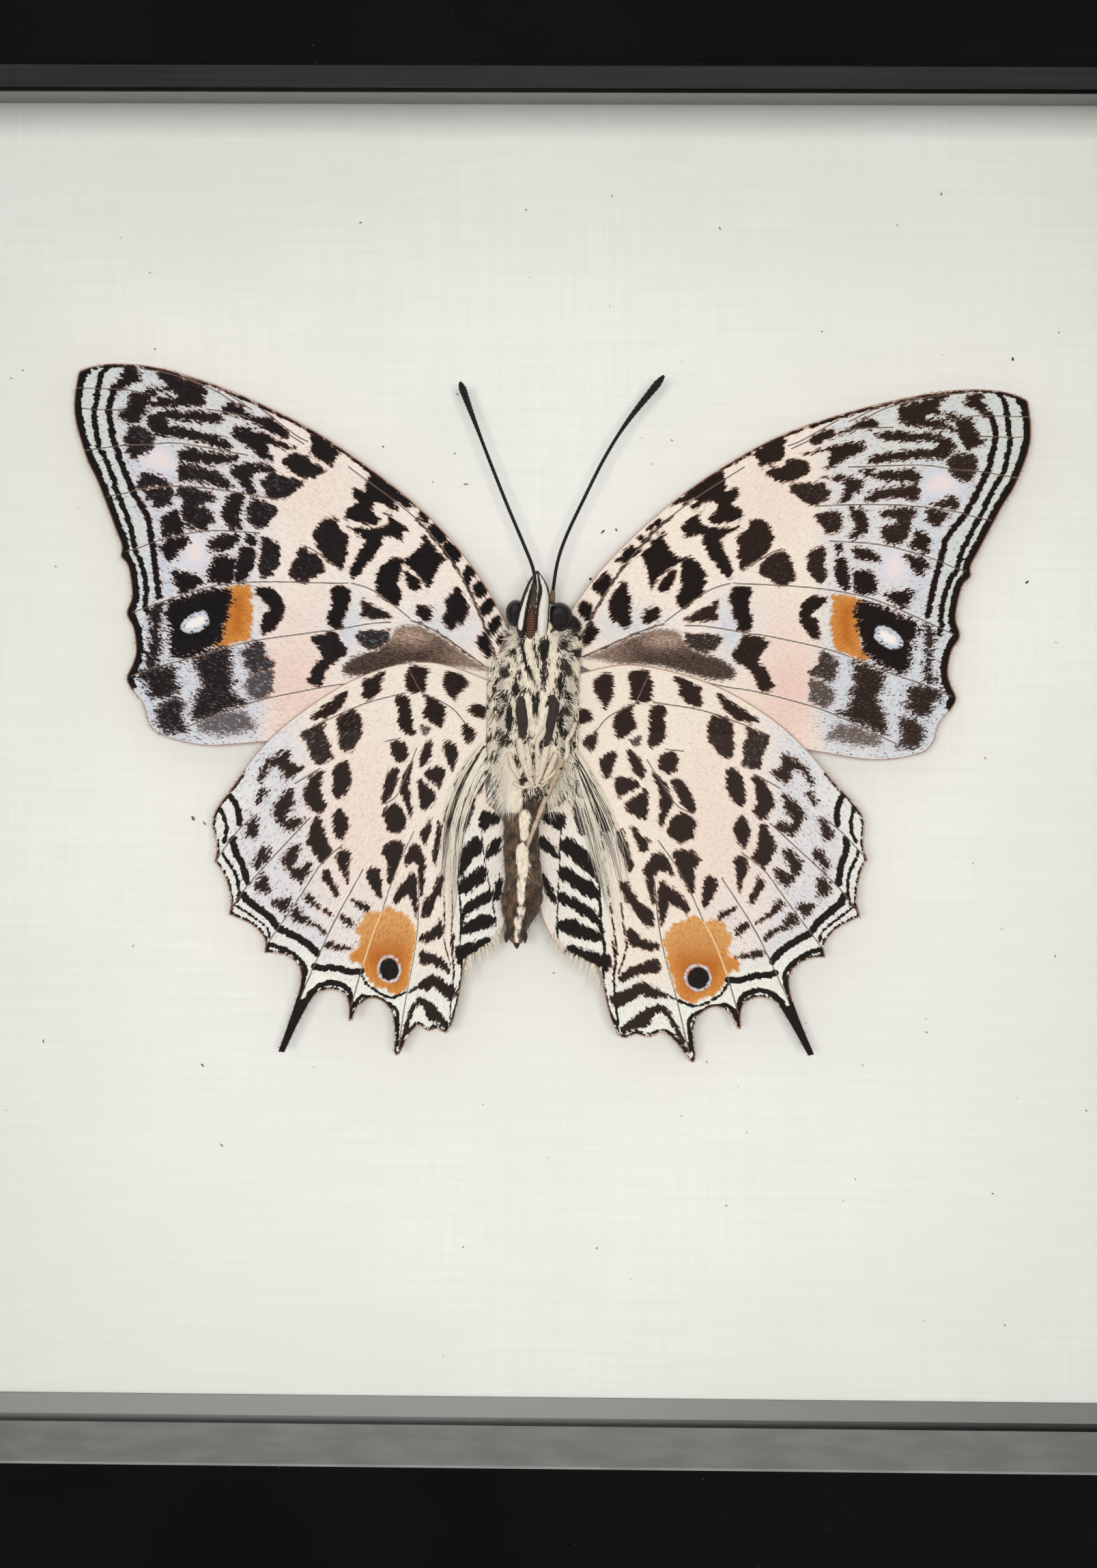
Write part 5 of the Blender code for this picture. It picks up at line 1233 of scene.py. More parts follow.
scale_plate = new_finish("body_scale_plates", 0.75)
plate_where = millimetres()
plate_fine = mottle(millimetres((1.0, 1.0, 0.35)), 6.0, 3.0, 0.65)
plate_patchy = mottle(plate_where, 1.4, 3.0, 0.6)
belly = blend_of(ease(plate_patchy, 0.38, 0.62), paint(30, 21, 15), paint(116, 88, 64))
chest = blend_of(ease(plate_patchy, 0.42, 0.5), paint(34, 27, 24), paint(238, 223, 200))
plate_colour = blend_of(reading("chest"), belly, chest)
plate_pale = ruffled(reading("cream"), plate_fine, 0.35)
plate_dark = ruffled(reading("black"), plate_fine, 0.25)
plate_colour = blend_of(ease(plate_pale, -0.1, 0.1), plate_colour,
                        blend_of(plate_fine, paint(238, 221, 196), paint(255, 244, 226)))
plate_colour = blend_of(ease(plate_dark, -0.06, 0.06), plate_colour, paint(22, 18, 17))
plate_colour = blend_of(ease(plate_fine, 0.3, 0.6, 0.35, 0.0), plate_colour, paint(60, 48, 40))
coat(plate_colour)
into("Sheen Weight", 0.15)
relief(plate_fine, 0.07)


def mark_body(piece):
    """The cream and black lines of scales, and where the chest turns into the belly."""
    where = flat_places(piece)
    add_values(piece, {"cream": inside_of(where, CREAM_SCALES),
                       "black": inside_of(where, BLACK_SCALES),
                       "chest": soft_step(where[:, 1], -3.4, -2.0)})


body_core = lofted("body_core", BODY_SECTIONS, scale_plate, 96, 10, plate_relief)
mark_body(body_core)
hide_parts("butterfly_body")

# The wing roots: low humps of muscle and plate that fill the space between chest and wings.
for side, top, lean, middle, half in (("left", 8.9, 0.8, -2.75, 1.12), ("right", 10.7, 0.98, 2.48, 0.82)):
    hump = lofted(f"wing_root_{side}",
                  [(top, middle * lean, 0.1, 16.9, 17.6),
                   (top - 0.9, middle * (lean + 0.1), half * lean, 16.5, 17.7),
                   (6.0, middle, half, 16.2, 17.7), (3.0, middle, half, 16.3, 17.7),
                   (0.0, middle * 0.98, half * 0.95, 16.4, 17.7),
                   (-2.2, middle * 0.85, half * 0.7, 16.6, 17.6),
                   (-3.4, middle * 0.7, 0.1, 16.9, 17.4)], scale_plate, 48, 8)
    mark_body(hump)

# Claspers at the tail: three small dark horny hooks.
horn = new_finish("dark_horn", 0.45)
coat(blend_of(mottle(millimetres(), 3.0, 3.0), paint(28, 22, 20), paint(62, 46, 38)))
relief(mottle(millimetres(), 6.0, 2.0), 0.03)


def rod(name, path, radii, finish, sides=12, steps=6):
    """A round tapering rod along places (u, v, depth); one radius for each place."""
    route = smooth_path([(*p, r) for p, r in zip(path, radii)], steps)
    count = len(route)
    heading = np.gradient(route[:, :3], axis=0)
    heading /= np.linalg.norm(heading, axis=1)[:, None]
    side = np.cross(heading, (0.0, 0.0, 1.0))
    side /= np.maximum(np.linalg.norm(side, axis=1), 1e-6)[:, None]
    lift = np.cross(side, heading)
    points = []
    for k in range(sides):
        turn = 2 * math.pi * k / sides
        points.append(route[:, :3] + (side * math.cos(turn) + lift * math.sin(turn)) * route[:, 3:])
    points = np.stack(points, axis=1).reshape(-1, 3)
    faces = ring_faces(count, sides)
    faces.append(tuple(range(sides)))
    faces.append(tuple((count - 1) * sides + k for k in range(sides)))
    piece = new_piece(name, points, faces, finish)
    return piece


rod("clasper_left", [(-1.85, -12.9, 15.3), (-2.15, -13.4, 15.3), (-2.25, -13.9, 15.5)],
    [0.3, 0.26, 0.08], horn)
rod("clasper_right", [(-1.0, -12.9, 15.3), (-0.78, -13.4, 15.3), (-0.78, -13.95, 15.5)],
    [0.28, 0.22, 0.07], horn)
rod("tail_tip", [(-1.42, -13.6, 15.6), (-1.42, -14.1, 15.6), (-1.4, -14.4, 15.7)],
    [0.34, 0.24, 0.08], horn)

# ---- Head ------------------------------------------------
# Two round compound eyes, the pair of scaled palps that meet in a point, and the coiled
# tongue between them.
eye_skin = new_finish("compound_eye", 0.22)
facets = step_of("ShaderNodeTexVoronoi", {"Vector": millimetres(), "Scale": 9.0})
eye_cloud = ease(mottle(millimetres(), 0.9, 2.0), 0.35, 0.7)
coat(blend_of(eye_cloud, paint(9, 5, 5), paint(24, 13, 13)))
relief(facets.outputs["Distance"], 0.02)
for side, u, v, half, tall in (("left", -1.62, 11.6, 0.78, 1.06), ("right", 1.74, 11.33, 1.02, 1.16)):
    rounds = []
    for k in range(9):
        turn = math.pi * (k / 8)
        wide = max(half * math.sin(turn), 0.02)
        rounds.append((v + tall * math.cos(turn), u, wide, 15.75 - 1.05 * math.sin(turn),
                       15.75 + 1.05 * math.sin(turn)))
    lofted(f"eye_{side}", rounds, eye_skin, 40, 4)

PALP_WHITE = [
    ((0.15, 14.7), (0.6, 14), (0.88, 13.2), (0.93, 12.5), (0.88, 11.5), (0.83, 10.5), (0.7, 9.9),
     (0.05, 9.7), (0.08, 10.2), (0.14, 11.5), (0.28, 12.5), (0.45, 13.3), (0.32, 14)),
    ((-0.25, 14.4), (-0.72, 13.3), (-1.05, 12.3), (-1.4, 11), (-1.36, 10.4), (-1.1, 10.4), (-0.92, 11.5),
     (-0.75, 12.5), (-0.55, 13.3), (-0.32, 14.1)),
]
palp_skin = new_finish("palp_scales", 0.7)
palp_fine = mottle(millimetres((2.0, 1.0, 0.4)), 5.0, 3.0)
palp_edge = ruffled(reading("white"), palp_fine, 0.12)
palp_colour = blend_of(ease(palp_edge, -0.03, 0.05),
                       blend_of(palp_fine, paint(24, 22, 22), paint(52, 47, 45)),
                       blend_of(palp_fine, paint(206, 198, 186), paint(240, 236, 228)))
coat(palp_colour)
relief(palp_fine, 0.05)
PALPS = {
    "right": [(14.9, 0.05, 0.05, 15.4, 15.7), (14.3, 0.30, 0.24, 15, 15.8),
              (13.6, 0.52, 0.38, 14.7, 16), (12.8, 0.54, 0.48, 14.45, 16.1),
              (11.8, 0.46, 0.54, 14.3, 16.2), (10.8, 0.42, 0.54, 14.25, 16.2),
              (10, 0.40, 0.44, 14.3, 16.2), (9.6, 0.38, 0.25, 14.6, 16)],
    "left": [(14.9, 0.02, 0.05, 15.4, 15.7), (14.3, -0.30, 0.2, 15.1, 15.8),
             (13.6, -0.56, 0.30, 14.85, 16), (12.8, -0.78, 0.38, 14.65, 16.1),
             (11.8, -1.02, 0.44, 14.5, 16.2), (10.8, -1.16, 0.42, 14.45, 16.2),
             (10.1, -1.12, 0.34, 14.5, 16.2), (9.7, -1.08, 0.2, 14.7, 16)],
}
for side, sections in PALPS.items():
    palp = lofted(f"palp_{side}", sections, palp_skin, 40, 8)
    add_values(palp, {"white": inside_of(flat_places(palp), PALP_WHITE)})
tongue_skin = new_finish("tongue_brown", 0.5)
tongue_bands = step_of("ShaderNodeTexWave", {"Vector": millimetres(), "Scale": 1.6,
                                             "Distortion": 1.0}, bands_direction="Z")
tongue_bands = tongue_bands.outputs["Fac"]
coat(blend_of(tongue_bands, paint(60, 36, 28), paint(112, 70, 50)))
relief(tongue_bands, 0.04)
tongue = lofted("tongue", [(12.1, -0.32, 0.12, 14.6, 15.6), (11.4, -0.36, 0.40, 14.4, 15.7),
                           (10.6, -0.40, 0.44, 14.35, 15.7), (9.9, -0.42, 0.40, 14.4, 15.7),
                           (9.6, -0.42, 0.2, 14.6, 15.5)], tongue_skin, 32, 6)
socket_skin = new_finish("antenna_socket_tan", 0.6)
coat(blend_of(mottle(millimetres(), 4.0, 2.0), paint(92, 66, 48), paint(150, 118, 90)))
relief(mottle(millimetres(), 5.0, 2.0), 0.03)
rod("antenna_socket_right", [(1.1, 12.45, 16.6), (1.15, 12.8, 16.8), (1.22, 13.3, 17.05)],
    [0.3, 0.26, 0.17], socket_skin)
rod("antenna_socket_left", [(-0.55, 12.6, 16.4), (-0.35, 13.0, 16.6), (-0.15, 13.6, 17.05)],
    [0.26, 0.22, 0.16], socket_skin)

# ---- Folded legs -----------------------------------------
# The thighs lie back along the chest; shins and feet in cream scales fold to a point below it.
thigh = new_finish("thigh_brown", 0.6)
thigh_fine = mottle(millimetres((1.5, 1.0, 0.5)), 4.0, 3.0)
coat(blend_of(thigh_fine, paint(20, 17, 16), paint(70, 57, 49)))
relief(thigh_fine, 0.12)
shin = new_finish("shin_cream", 0.65)
shin_fine = mottle(millimetres(), 3.2, 3.0)
shin_gap = ease(shin_fine, 0.28, 0.36)
shin_pale = blend_of(shin_fine, paint(188, 166, 138), paint(240, 230, 214))
coat(blend_of(shin_gap, paint(52, 42, 36), shin_pale))
relief(shin_fine, 0.06)
rod("thigh_left", [(-1.1, 5.2, 14.5), (-1.12, 4.2, 14.3), (-0.98, 3.1, 14.3), (-1.05, 2.1, 14.5)],
    [0.3, 0.44, 0.42, 0.25], thigh)
rod("thigh_right", [(1.15, 5.3, 14.5), (1.4, 4.4, 14.3), (1.15, 3.2, 14.3), (0.95, 2.0, 14.3),
                    (0.62, 0.8, 14.4)], [0.3, 0.42, 0.36, 0.26, 0.12], thigh)
SHINS = [
    ("shin_left", [(-1.3, 2, 14.5), (-1, 0.7, 14.35), (-0.6, -0.5, 14.3), (-0.15, -1.8, 14.35)],
     [0.26, 0.36, 0.3, 0.12]),
    ("shin_right", [(0.95, 1.9, 14.5), (0.68, 0.6, 14.35), (0.36, -0.6, 14.3), (-0.03, -1.8, 14.35)],
     [0.24, 0.34, 0.28, 0.12]),
    ("foot_left", [(-1.75, -1.35, 14.45), (-1.05, -1.75, 14.4), (-0.45, -1.62, 14.3), (-0.2, -1.3, 14.3)],
     [0.1, 0.13, 0.13, 0.08]),
    ("foot_right", [(1, -1.2, 14.45), (0.5, -1.6, 14.4), (0, -1.5, 14.25)], [0.1, 0.13, 0.08]),
    ("outer_shin_left", [(-2.05, 0.9, 14.7), (-1.75, -0.1, 14.5), (-1.2, -1.1, 14.4)],
     [0.18, 0.27, 0.13]),
    ("outer_shin_right", [(1.6, 0.9, 14.6), (1.2, -0.1, 14.45), (0.65, -1.1, 14.35)], [0.16, 0.26, 0.13]),
    ("inner_shin_left", [(-0.7, 1.6, 14.25), (-0.55, 0.4, 14.1), (-0.35, -0.9, 14.1)],
     [0.14, 0.28, 0.13]),
    ("inner_shin_right", [(0.76, 2.8, 14.25), (0.45, 2.3, 14.1), (0.12, 1.6, 14.1), (0.2, 0.3, 14.1),
                          (0.1, -0.9, 14.1)], [0.13, 0.26, 0.17, 0.25, 0.13]),
    ("curled_leg", [(3.05, 3.2, 15.6), (2.75, 2.4, 15), (2.4, 1.8, 14.75), (2.45, 1, 14.6),
                    (2.2, 0.3, 14.5), (1.6, -0.5, 14.4), (1, -1, 14.3), (0.4, -1.4, 14.25)],
     [0.14, 0.18, 0.19, 0.19, 0.18, 0.17, 0.14, 0.09]),
]
for name, path, radii in SHINS:
    rod(name, path, radii, shin)

# ---- Hair ------------------------------------------------
# Fine hair on the chest, the wing roots and the inner folds of the hindwings, laid backwards
# as it dried; each tuft is one mesh of tapering hairs.
hair = new_finish("insect_hair", 0.55)
hair_shade = reading("shade")
hair_dark = blend_of(ease(hair_shade, 0.0, 0.45), paint(12, 9, 8), paint(118, 96, 77))
hair_colour = blend_of(ease(hair_shade, 0.45, 1.0), hair_dark, paint(255, 246, 228))
hair_cloud = mottle(millimetres(), 1.2, 2.0)
hair_colour = blend_of(ease(hair_cloud, 0.4, 0.8, 0.0, 0.12), hair_colour, paint(160, 132, 106))
coat(hair_colour)
relief(mottle(millimetres(), 8.0, 2.0), 0.01)


def tuft(name, routes, thickness, shades):
    """Joined three-sided hairs; routes is hairs by places by (u, v, depth)."""
    count, places = routes.shape[:2]
    heading = np.gradient(routes, axis=1)
    heading /= np.maximum(np.linalg.norm(heading, axis=2), 1e-9)[..., None]
    side = np.cross(heading, (0.0, 0.0, 1.0))
    side /= np.maximum(np.linalg.norm(side, axis=2), 1e-6)[..., None]
    lift = np.cross(side, heading)
    taper = (1.0 - 0.85 * np.linspace(0, 1, places) ** 1.5)[None, :, None]
    radius = np.asarray(thickness).reshape(-1, 1, 1) * taper
    rings = [routes + (side * math.cos(a) + lift * math.sin(a)) * radius
             for a in (math.pi / 2, math.pi * 7 / 6, math.pi * 11 / 6)]
    points = np.stack(rings, axis=2).reshape(-1, 3)
    start = (np.arange(count)[:, None] * places + np.arange(places - 1)[None, :]).ravel() * 3
    faces = np.concatenate([np.column_stack([start + a, start + b, start + 3 + b, start + 3 + a])
                            for a, b in ((0, 1), (1, 2), (2, 0))])
    piece = new_piece(name, points, [tuple(f) for f in faces], hair)
    add_values(piece, {"shade": np.repeat(shades, places * 3)})


body_rings = smooth_path(BODY_SECTIONS, 10)[::-1]


def body_at(v):
    """Middle, half width, front and back of the body at heights v."""
    return [np.interp(v, body_rings[:, 0], body_rings[:, k]) for k in (1, 2, 3, 4)]


def on_body(v, share):
    """Places (u, v) on the body; share runs from -1 to 1 across it."""
    middle, half, _, _ = body_at(v)
    return np.column_stack([middle + half * share, v])


def skin_depth(u, v):
    """Depth of the body's front at a place."""
    middle, half, front, back = body_at(v)
    share = np.clip((u - middle) / np.maximum(half, 0.05), -0.995, 0.995)
    return (front + back) / 2 - (back - front) / 2 * np.sqrt(1 - share ** 2)


def leaning(u, v):
    """Directions one long from their two parts."""
    leans = np.column_stack([u, v])
    return leans / np.linalg.norm(leans, axis=1)[:, None]


def either_side(count, left_share=0.5):
    """-1 for the left or 1 for the right, at random."""
    return np.where(chance.uniform(size=count) < left_share, -1.0, 1.0)


def laid_hairs(roots, leans, lengths, lift, places=5):
    """Hairs that start on the body at (u, v) and lean over it."""
    depth = skin_depth(roots[:, 0], roots[:, 1])
    travel = np.linspace(0, 1, places)
    routes = np.zeros((len(roots), places, 3))
    swing = chance.normal(0, 0.15, len(roots))
    for k, t in enumerate(travel):
        routes[:, k, 0] = roots[:, 0] + (leans[:, 0] - leans[:, 1] * swing * t) * lengths * t
        routes[:, k, 1] = roots[:, 1] + (leans[:, 1] + leans[:, 0] * swing * t) * lengths * t
    for k, t in enumerate(travel):
        over = skin_depth(routes[:, k, 0], routes[:, k, 1])
        routes[:, k, 2] = np.minimum(over, depth + 0.6 * t) - lift * math.sin(t * 2.2) + 0.02
    routes[:, :, 2] = np.maximum(routes[:, :, 2], 13.95)
    return routes


def fur_shade(u, v):
    """Black-brown and cream patches of hair, a little under a millimetre across."""
    patches = np.sin(u * 4.1 + 1.6 * np.sin(v * 2.3)) + np.sin(v * 3.7 + 1.4 * np.sin(u * 2.6))
    dark = patches + chance.normal(0, 0.25, len(u)) > 0.15
    return np.where(dark, chance.uniform(0.0, 0.22, len(u)), chance.uniform(0.78, 1.0, len(u)))


chance = np.random.default_rng(7)
count = 2600
root_v = chance.uniform(-3.2, 10.0, count)
share = chance.uniform(-0.96, 0.96, count)
roots = on_body(root_v, share)
leans = leaning(share * 0.45 + chance.normal(0, 0.14, count), -np.ones(count))
lengths = chance.uniform(0.22, 0.5, count)
cream_here = inside_of(roots, CREAM_SCALES)
black_here = inside_of(roots, BLACK_SCALES)
shades = fur_shade(roots[:, 0], root_v)
shades = np.where(root_v < -1.7, chance.uniform(0.0, 0.3, count), shades)
shades = np.where(cream_here > -0.05, chance.uniform(0.82, 1.0, count), shades)
shades = np.where(black_here > -0.08, chance.uniform(0.0, 0.12, count), shades)
thickness = chance.uniform(0.03, 0.05, count) * np.where(cream_here > 0.0, 0.6, 1.0)
tuft("chest_hair", laid_hairs(roots, leans, lengths, 0.10), thickness, shades)

count = 1100
sides = either_side(count)
root_v = chance.uniform(-3.2, 9.6, count)
roots = on_body(root_v, sides * chance.uniform(0.8, 0.99, count))
leans = leaning(sides, chance.uniform(-1.5, -0.35, count))
lengths = chance.uniform(0.35, 0.9, count)
shades = fur_shade(roots[:, 0], root_v)
tuft("wing_root_hair", laid_hairs(roots, leans, lengths, 0.05),
     chance.uniform(0.026, 0.045, count), shades)

count = 620
sides = either_side(count, 0.55)
root_v = chance.uniform(-3.0, np.where(sides < 0, 8.2, 10.3))
root_u = np.where(sides < 0, chance.uniform(-3.7, -2.3, count), chance.uniform(2.0, 3.2, count))
roots = np.column_stack([root_u, root_v])
leans = leaning(sides * chance.uniform(0.1, 0.7, count), -np.ones(count))
tuft("hinge_hair", laid_hairs(roots, leans, chance.uniform(0.4, 0.8, count), 0.06),
     chance.uniform(0.03, 0.048, count), fur_shade(root_u, root_v))

count = 620
sides = either_side(count, 0.68)
root_v = chance.uniform(-2.2, 1.4, count)
roots = on_body(root_v, sides * chance.uniform(0.62, 0.98, count))
leans = leaning(sides * chance.uniform(0.05, 0.6, count), -np.ones(count))
tuft("white_side_tufts", laid_hairs(roots, leans, chance.uniform(1.2, 2.6, count), 0.12, 6),
     chance.uniform(0.022, 0.038, count), np.clip(chance.normal(0.97, 0.06, count), 0.1, 1.0))

count = 1200
root_v = chance.uniform(-12.8, -2.6, count)
share = chance.uniform(-0.97, 0.97, count)
roots = on_body(root_v, share)
leans = leaning(share * 0.5 + chance.normal(0, 0.2, count), -np.ones(count))
cream_here = inside_of(roots, CREAM_SCALES)
shades = np.clip(chance.normal(0.2, 0.14, count), 0, 1)
shades = np.where(cream_here > 0, chance.uniform(0.85, 1.0, count), shades)
tuft("belly_hair", laid_hairs(roots, leans, chance.uniform(0.25, 0.6, count), 0.06, 4),
     chance.uniform(0.014, 0.024, count), shades)

count = 420
sides = either_side(count)
roots = np.column_stack([sides * chance.uniform(0.9, 2.3, count) + 0.15, chance.uniform(9.4, 10.4, count)])
leans = leaning(sides * chance.uniform(0.1, 0.9, count), chance.uniform(-0.7, 0.6, count))
shades = np.where(roots[:, 0] > 2.3, 0.05, fur_shade(roots[:, 0], roots[:, 1]))
tuft("collar_hair", laid_hairs(roots, leans, chance.uniform(0.4, 0.9, count), 0.12, 4),
     chance.uniform(0.022, 0.038, count), shades)

count = 170
roots = np.column_stack([chance.uniform(2.2, 3.0, count), chance.uniform(10.0, 11.4, count)])
leans = leaning(np.ones(count), chance.uniform(-1.3, -0.2, count))
tuft("hair_beside_eye", laid_hairs(roots, leans, chance.uniform(0.3, 0.7, count), 0.1, 4),
     chance.uniform(0.03, 0.05, count), chance.uniform(0.0, 0.12, count))

count = 130
roots = np.column_stack([chance.uniform(-0.6, 0.0, count), chance.uniform(11.6, 13.6, count)])
leans = leaning(chance.normal(0.0, 0.15, count), np.ones(count))
routes = laid_hairs(roots, leans, chance.uniform(0.5, 1.1, count), 0.1, 4)
routes[:, :, 2] = np.minimum(routes[:, :, 2], 15.2) - 0.15
tuft("palp_hair", routes, chance.uniform(0.014, 0.024, count),
     np.clip(chance.normal(0.15, 0.15, count), 0, 1))


def bent(routes, matches):
    """The same hairs on the left wing, or as they are where there are no matches."""
    if matches is not None:
        flat = to_left_side(routes[:, :, :2].reshape(-1, 2), matches)
        routes[:, :, :2] = flat.reshape(*routes.shape[:2], 2)
    return routes


def fold_hairs(name, count, starts, ends, matches, first_depth, thick, streaked):
    """Long hairs that fan over the inner fold of a hindwing; matches bends them to the left."""
    pick = chance.uniform(size=count)
    pick = np.round(pick * 11) / 11 + chance.normal(0, 0.016, count)
    begin, finish_at = (np.column_stack([np.interp(pick, np.linspace(0, 1, len(row)), np.array(row)[:, k])
                                         for k in (0, 1)]) for row in (starts, ends))
    begin += chance.normal(0, 0.07, begin.shape)
    finish_at = begin + (finish_at - begin) * chance.uniform(0.45, 1.0, count)[:, None]
    finish_at += chance.normal(0, 0.13, begin.shape)
    places = 9
    routes = np.zeros((count, places, 3))
    dark = streaked & (np.round(pick * 11) % 4 == 1)
    shades = np.where(dark, 0.12, chance.uniform(0.8, 1.0, count))
    bow = chance.normal(0.03, 0.02, count)
    for k, t in enumerate(np.linspace(0, 1, places)):
        along = begin + (finish_at - begin) * t
        across = np.column_stack([-(finish_at - begin)[:, 1], (finish_at - begin)[:, 0]])
        routes[:, k, :2] = along + across * (bow * math.sin(math.pi * t))[:, None]
        rise = chance.uniform(0.0, 0.12, count) * math.sin(math.pi * t)
        routes[:, k, 2] = first_depth - 0.35 * (1 - t) ** 2 - rise
    tuft(name, bent(routes, matches), thick * chance.uniform(0.75, 1.25, count), shades)


FOLD_STARTS = [(2.3, -1.2), (2.4, -0.2), (2.7, 0.6), (2.9, 1.3)]
FOLD_ENDS = [(4.9, -7.2), (5.9, -13.2), (6.9, -14.3), (7.9, -8.6)]
fold_hairs("fold_hair_right", 150, FOLD_STARTS, FOLD_ENDS, None, 17.02, 0.03, True)
fold_hairs("fold_hair_left", 160, FOLD_STARTS, FOLD_ENDS, HINDWING_MATCHES, 17.02, 0.03, True)
FRINGE_STARTS = [(1.4, -13.4), (2.4, -14.7), (3.4, -15.2), (4.6, -15.8), (5, -17)]
FRINGE_ENDS = [(1.1, -14.8), (2, -16.1), (3.1, -16.6), (4.2, -17.2), (4.7, -18.4)]
fold_hairs("fold_fringe_right", 150, FRINGE_STARTS, FRINGE_ENDS, None, 17.2, 0.028, False)
fold_hairs("fold_fringe_left", 150, FRINGE_STARTS, FRINGE_ENDS, HINDWING_MATCHES, 17.2, 0.028, False)


def edge_fringe(name, edge_points, matches, depth, length, shade):
    """Short scales that stand out along a wing's outer edge."""
    route = np.asarray(edge_points)
    steps = np.linalg.norm(np.diff(route, axis=0), axis=1)
    total = np.concatenate([[0], np.cumsum(steps)])
    count = int(total[-1] * 11)
    at = chance.uniform(0, total[-1], count)
    base = np.column_stack([np.interp(at, total, route[:, k]) for k in (0, 1)])
    ahead = np.column_stack([np.interp(at + 0.05, total, route[:, k]) for k in (0, 1)]) - base
    ahead /= np.maximum(np.linalg.norm(ahead, axis=1), 1e-6)[:, None]
    outward = np.column_stack([-ahead[:, 1], ahead[:, 0]])
    outward += chance.normal(0, 0.25, outward.shape)
    routes = np.zeros((count, 3, 3))
    for k, t in enumerate((0.0, 0.5, 1.0)):
        stretch = length * chance.uniform(0.75, 1.1, count) * t - 0.14
        routes[:, k, :2] = base + outward * stretch[:, None]
        routes[:, k, 2] = depth
    shades = np.clip(chance.normal(shade, 0.15, count), 0, 1)
    shades[(base[:, 0] > 18.6) & (base[:, 1] < -18.6)] = 0.03
    tuft(name, bent(routes, matches), chance.uniform(0.018, 0.03, count), shades)


fore_margin = outline[[k for k in range(len(outline)) if outline[k][0] > 29.5 and outline[k][1] < 28.9]]
hind_margin = hind_outline[first_outer:last_outer]
edge_fringe("forewing_fringe_right", fore_margin, None, 17.85, 0.3, 0.6)
edge_fringe("forewing_fringe_left", fore_margin, FOREWING_MATCHES, 17.85, 0.3, 0.6)
edge_fringe("hindwing_fringe_right", hind_margin, None, 17.25, 0.28, 0.6)
edge_fringe("hindwing_fringe_left", hind_margin, HINDWING_MATCHES, 17.25, 0.28, 0.6)

# ---- Antennae --------------------------------------------
# Thin black rods of many short joints, which thicken into a long club at the tip.
RIGHT_ANTENNA = [(1.2, 13.25), (1.55, 15.5), (2.2, 17.5), (3.5, 20.3), (5.2, 23.7),
                 (7, 26.55), (9.7, 29.95)]
LEFT_ANTENNA = [(-0.12, 13.6), (-0.35, 15.1), (-1.1, 17), (-2.3, 19.8), (-3.6, 23),
                (-5, 26.6), (-6.05, 29.4)]
horn_black = new_finish("antenna_black", 0.4)
black_fine = mottle(millimetres(), 5.0, 3.0)
coat(blend_of(black_fine, paint(5, 4, 4), paint(16, 13, 12)))
relief(black_fine, 0.02)
for side, points in (("right", RIGHT_ANTENNA), ("left", LEFT_ANTENNA)):
    path = smooth_path(points, 22)
    travel = np.linspace(0, 1, len(path))
    club = np.clip((travel - 0.76) / 0.2, 0, 1) ** 1.2
    tip = np.sqrt(np.clip((1.004 - travel) / 0.035, 0.02, 1))
    joints = 1.0 + 0.10 * np.cos(np.arange(len(path)) * math.pi)
    radii = 0.135 * (1.0 + 1.25 * club) * tip * joints
    shaft = rod(f"antenna_{side}_jointed", [(u, v, 17.1) for u, v in path], radii, horn_black, 12, 2)
    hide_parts(f"antenna_{side}")

# ---- Hind leg --------------------------------------------
# One hind leg lies back across the abdomen: a thin tan rod, narrower towards its foot, with
# dark specks and short spines.
HIND_LEG = [(2.05, 0.5), (1.7, -0.7), (0.9, -2.3), (0.1, -4.4), (-0.6, -6.3)]
leg_skin = new_finish("hind_leg_tan", 0.6)
leg_fine = mottle(millimetres(), 3.6, 3.0)
leg_colour = blend_of(leg_fine, paint(120, 92, 68), paint(226, 204, 176))
leg_specks = ease(mottle(millimetres(), 2.2, 2.0), 0.6, 0.66)
leg_colour = blend_of(leg_specks, leg_colour, paint(48, 38, 32))
coat(leg_colour)
relief(leg_fine, 0.04)
leg_path = smooth_path(HIND_LEG, 8)
leg_travel = np.linspace(0, 1, len(leg_path))
leg_radii = 0.26 - 0.1 * leg_travel + 0.02 * np.cos(leg_travel * 40)
hind_leg = rod("hind_leg_scaled", [(u, v, 14.12) for u, v in leg_path], leg_radii, leg_skin, 14, 3)
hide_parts("hind_leg")
count = 46
at = chance.uniform(0.05, 0.98, count)
base = np.column_stack([np.interp(at, leg_travel, leg_path[:, k]) for k in (0, 1)])
sides = either_side(count)
routes = np.zeros((count, 3, 3))
for k, t in enumerate((0.0, 0.5, 1.0)):
    routes[:, k, 0] = base[:, 0] + sides * (0.08 + 0.22 * t)
    routes[:, k, 1] = base[:, 1] - 0.22 * t
    routes[:, k, 2] = 14.1
tuft("hind_leg_spines", routes, np.full(count, 0.018), chance.uniform(0.0, 0.3, count))

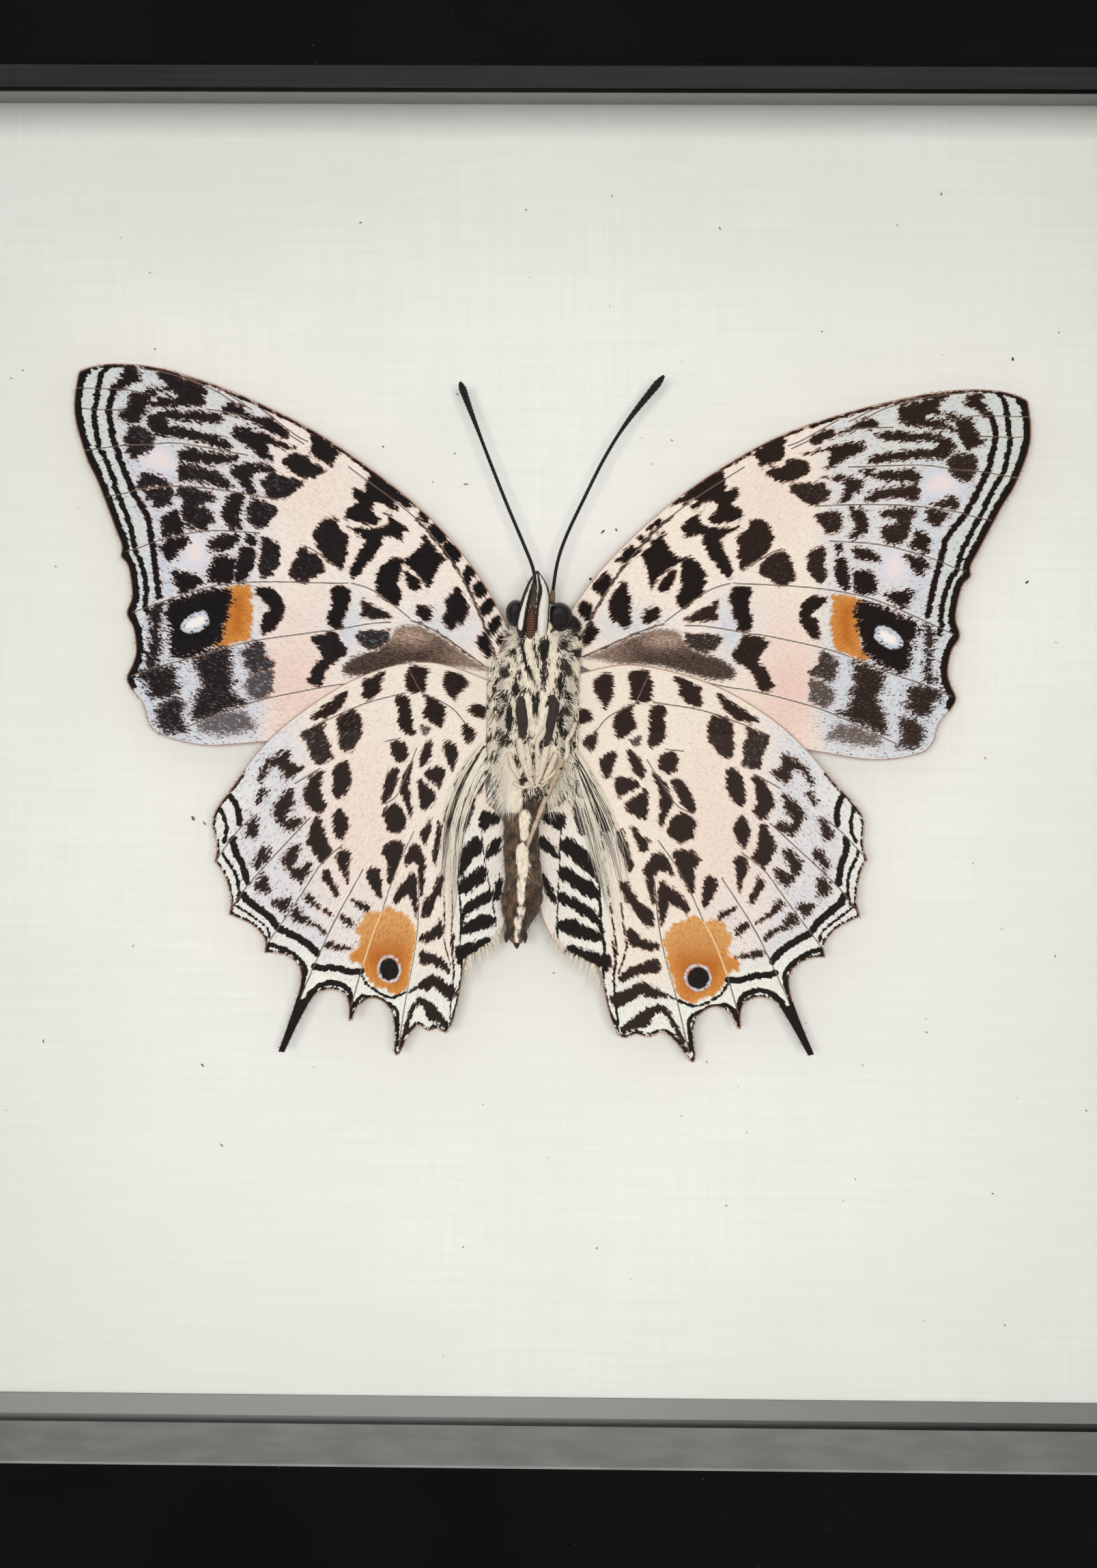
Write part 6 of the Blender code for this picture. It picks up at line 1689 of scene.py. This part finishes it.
# ---- Studio ----------------------------------------------
# A plain pale floor, a wide soft lamp above, two soft ones at the sides, a broad fill in front
# that is kept out of reflections, and a dim even surround.
LAMP_AIM = (0, 0, 0.06)
floor_mesh = bpy.data.meshes.new("floor")
reach_out = 1.2
floor_mesh.from_pydata([(-reach_out, -reach_out, 0), (reach_out, -reach_out, 0),
                        (reach_out, reach_out, 0), (-reach_out, reach_out, 0)], [], [(0, 1, 2, 3)])
floor = bpy.data.objects.new("floor", floor_mesh)
bpy.context.scene.collection.objects.link(floor)
floor_finish = new_finish("pale_floor", 0.9, paint(238, 237, 234))
floor_mesh.materials.append(floor_finish)


def lamp(name, place, width, height, power, colour=(1.0, 1.0, 1.0)):
    """A soft oblong lamp that looks at the middle of the frame."""
    light = bpy.data.lights.new(name, "AREA")
    light.shape = "RECTANGLE"
    light.size = width
    light.size_y = height
    light.energy = power
    light.color = colour
    made = bpy.data.objects.new(name, light)
    made.location = place
    made.rotation_euler = (Vector(LAMP_AIM) - Vector(place)).to_track_quat("-Z", "Y").to_euler()
    bpy.context.scene.collection.objects.link(made)


lamp("wide_top_lamp", (-0.1, -0.7, 0.9), 1.2, 0.8, 2.6)
lamp("left_lamp", (-1.0, -0.8, 0.35), 0.8, 0.8, 1.0)
lamp("right_lamp", (1.0, -0.9, 0.3), 0.8, 0.8, 0.7, (1.0, 0.98, 0.95))
lamp("front_fill", (0.0, -2.6, 0.22), 1.6, 0.5, 55.0)
bpy.data.objects["front_fill"].visible_glossy = False
bpy.data.objects["front_fill"].visible_transmission = False
world = bpy.data.worlds.new("surround")
world.use_nodes = True
world.node_tree.nodes["Background"].inputs["Color"].default_value = (0.9, 0.92, 0.95, 1.0)
world.node_tree.nodes["Background"].inputs["Strength"].default_value = 0.22
bpy.context.scene.world = world
bpy.context.scene.view_settings.view_transform = "Standard"

camera = bpy.data.cameras.new("camera")
camera.sensor_fit = "VERTICAL"
camera.sensor_height = 36.0
camera.lens = 72.98
camera.clip_start = 0.01
eye = bpy.data.objects.new("camera", camera)
eye_place = (0.0057, -0.24375, 0.079404)
tilt = math.radians(4.07355)
yaw = math.radians(-1.10167)
roll = math.radians(0.30807)
ahead = Vector((math.sin(yaw) * math.cos(tilt), math.cos(yaw) * math.cos(tilt), -math.sin(tilt)))
right = ahead.cross(Vector((0, 0, 1))).normalized()
above = right.cross(ahead)
across = right * math.cos(roll) + above * math.sin(roll)
upward = above * math.cos(roll) - right * math.sin(roll)
turned = Matrix((across, upward, -ahead)).transposed().to_4x4()
eye.matrix_world = Matrix.Translation(eye_place) @ turned
bpy.context.scene.collection.objects.link(eye)
bpy.context.scene.camera = eye
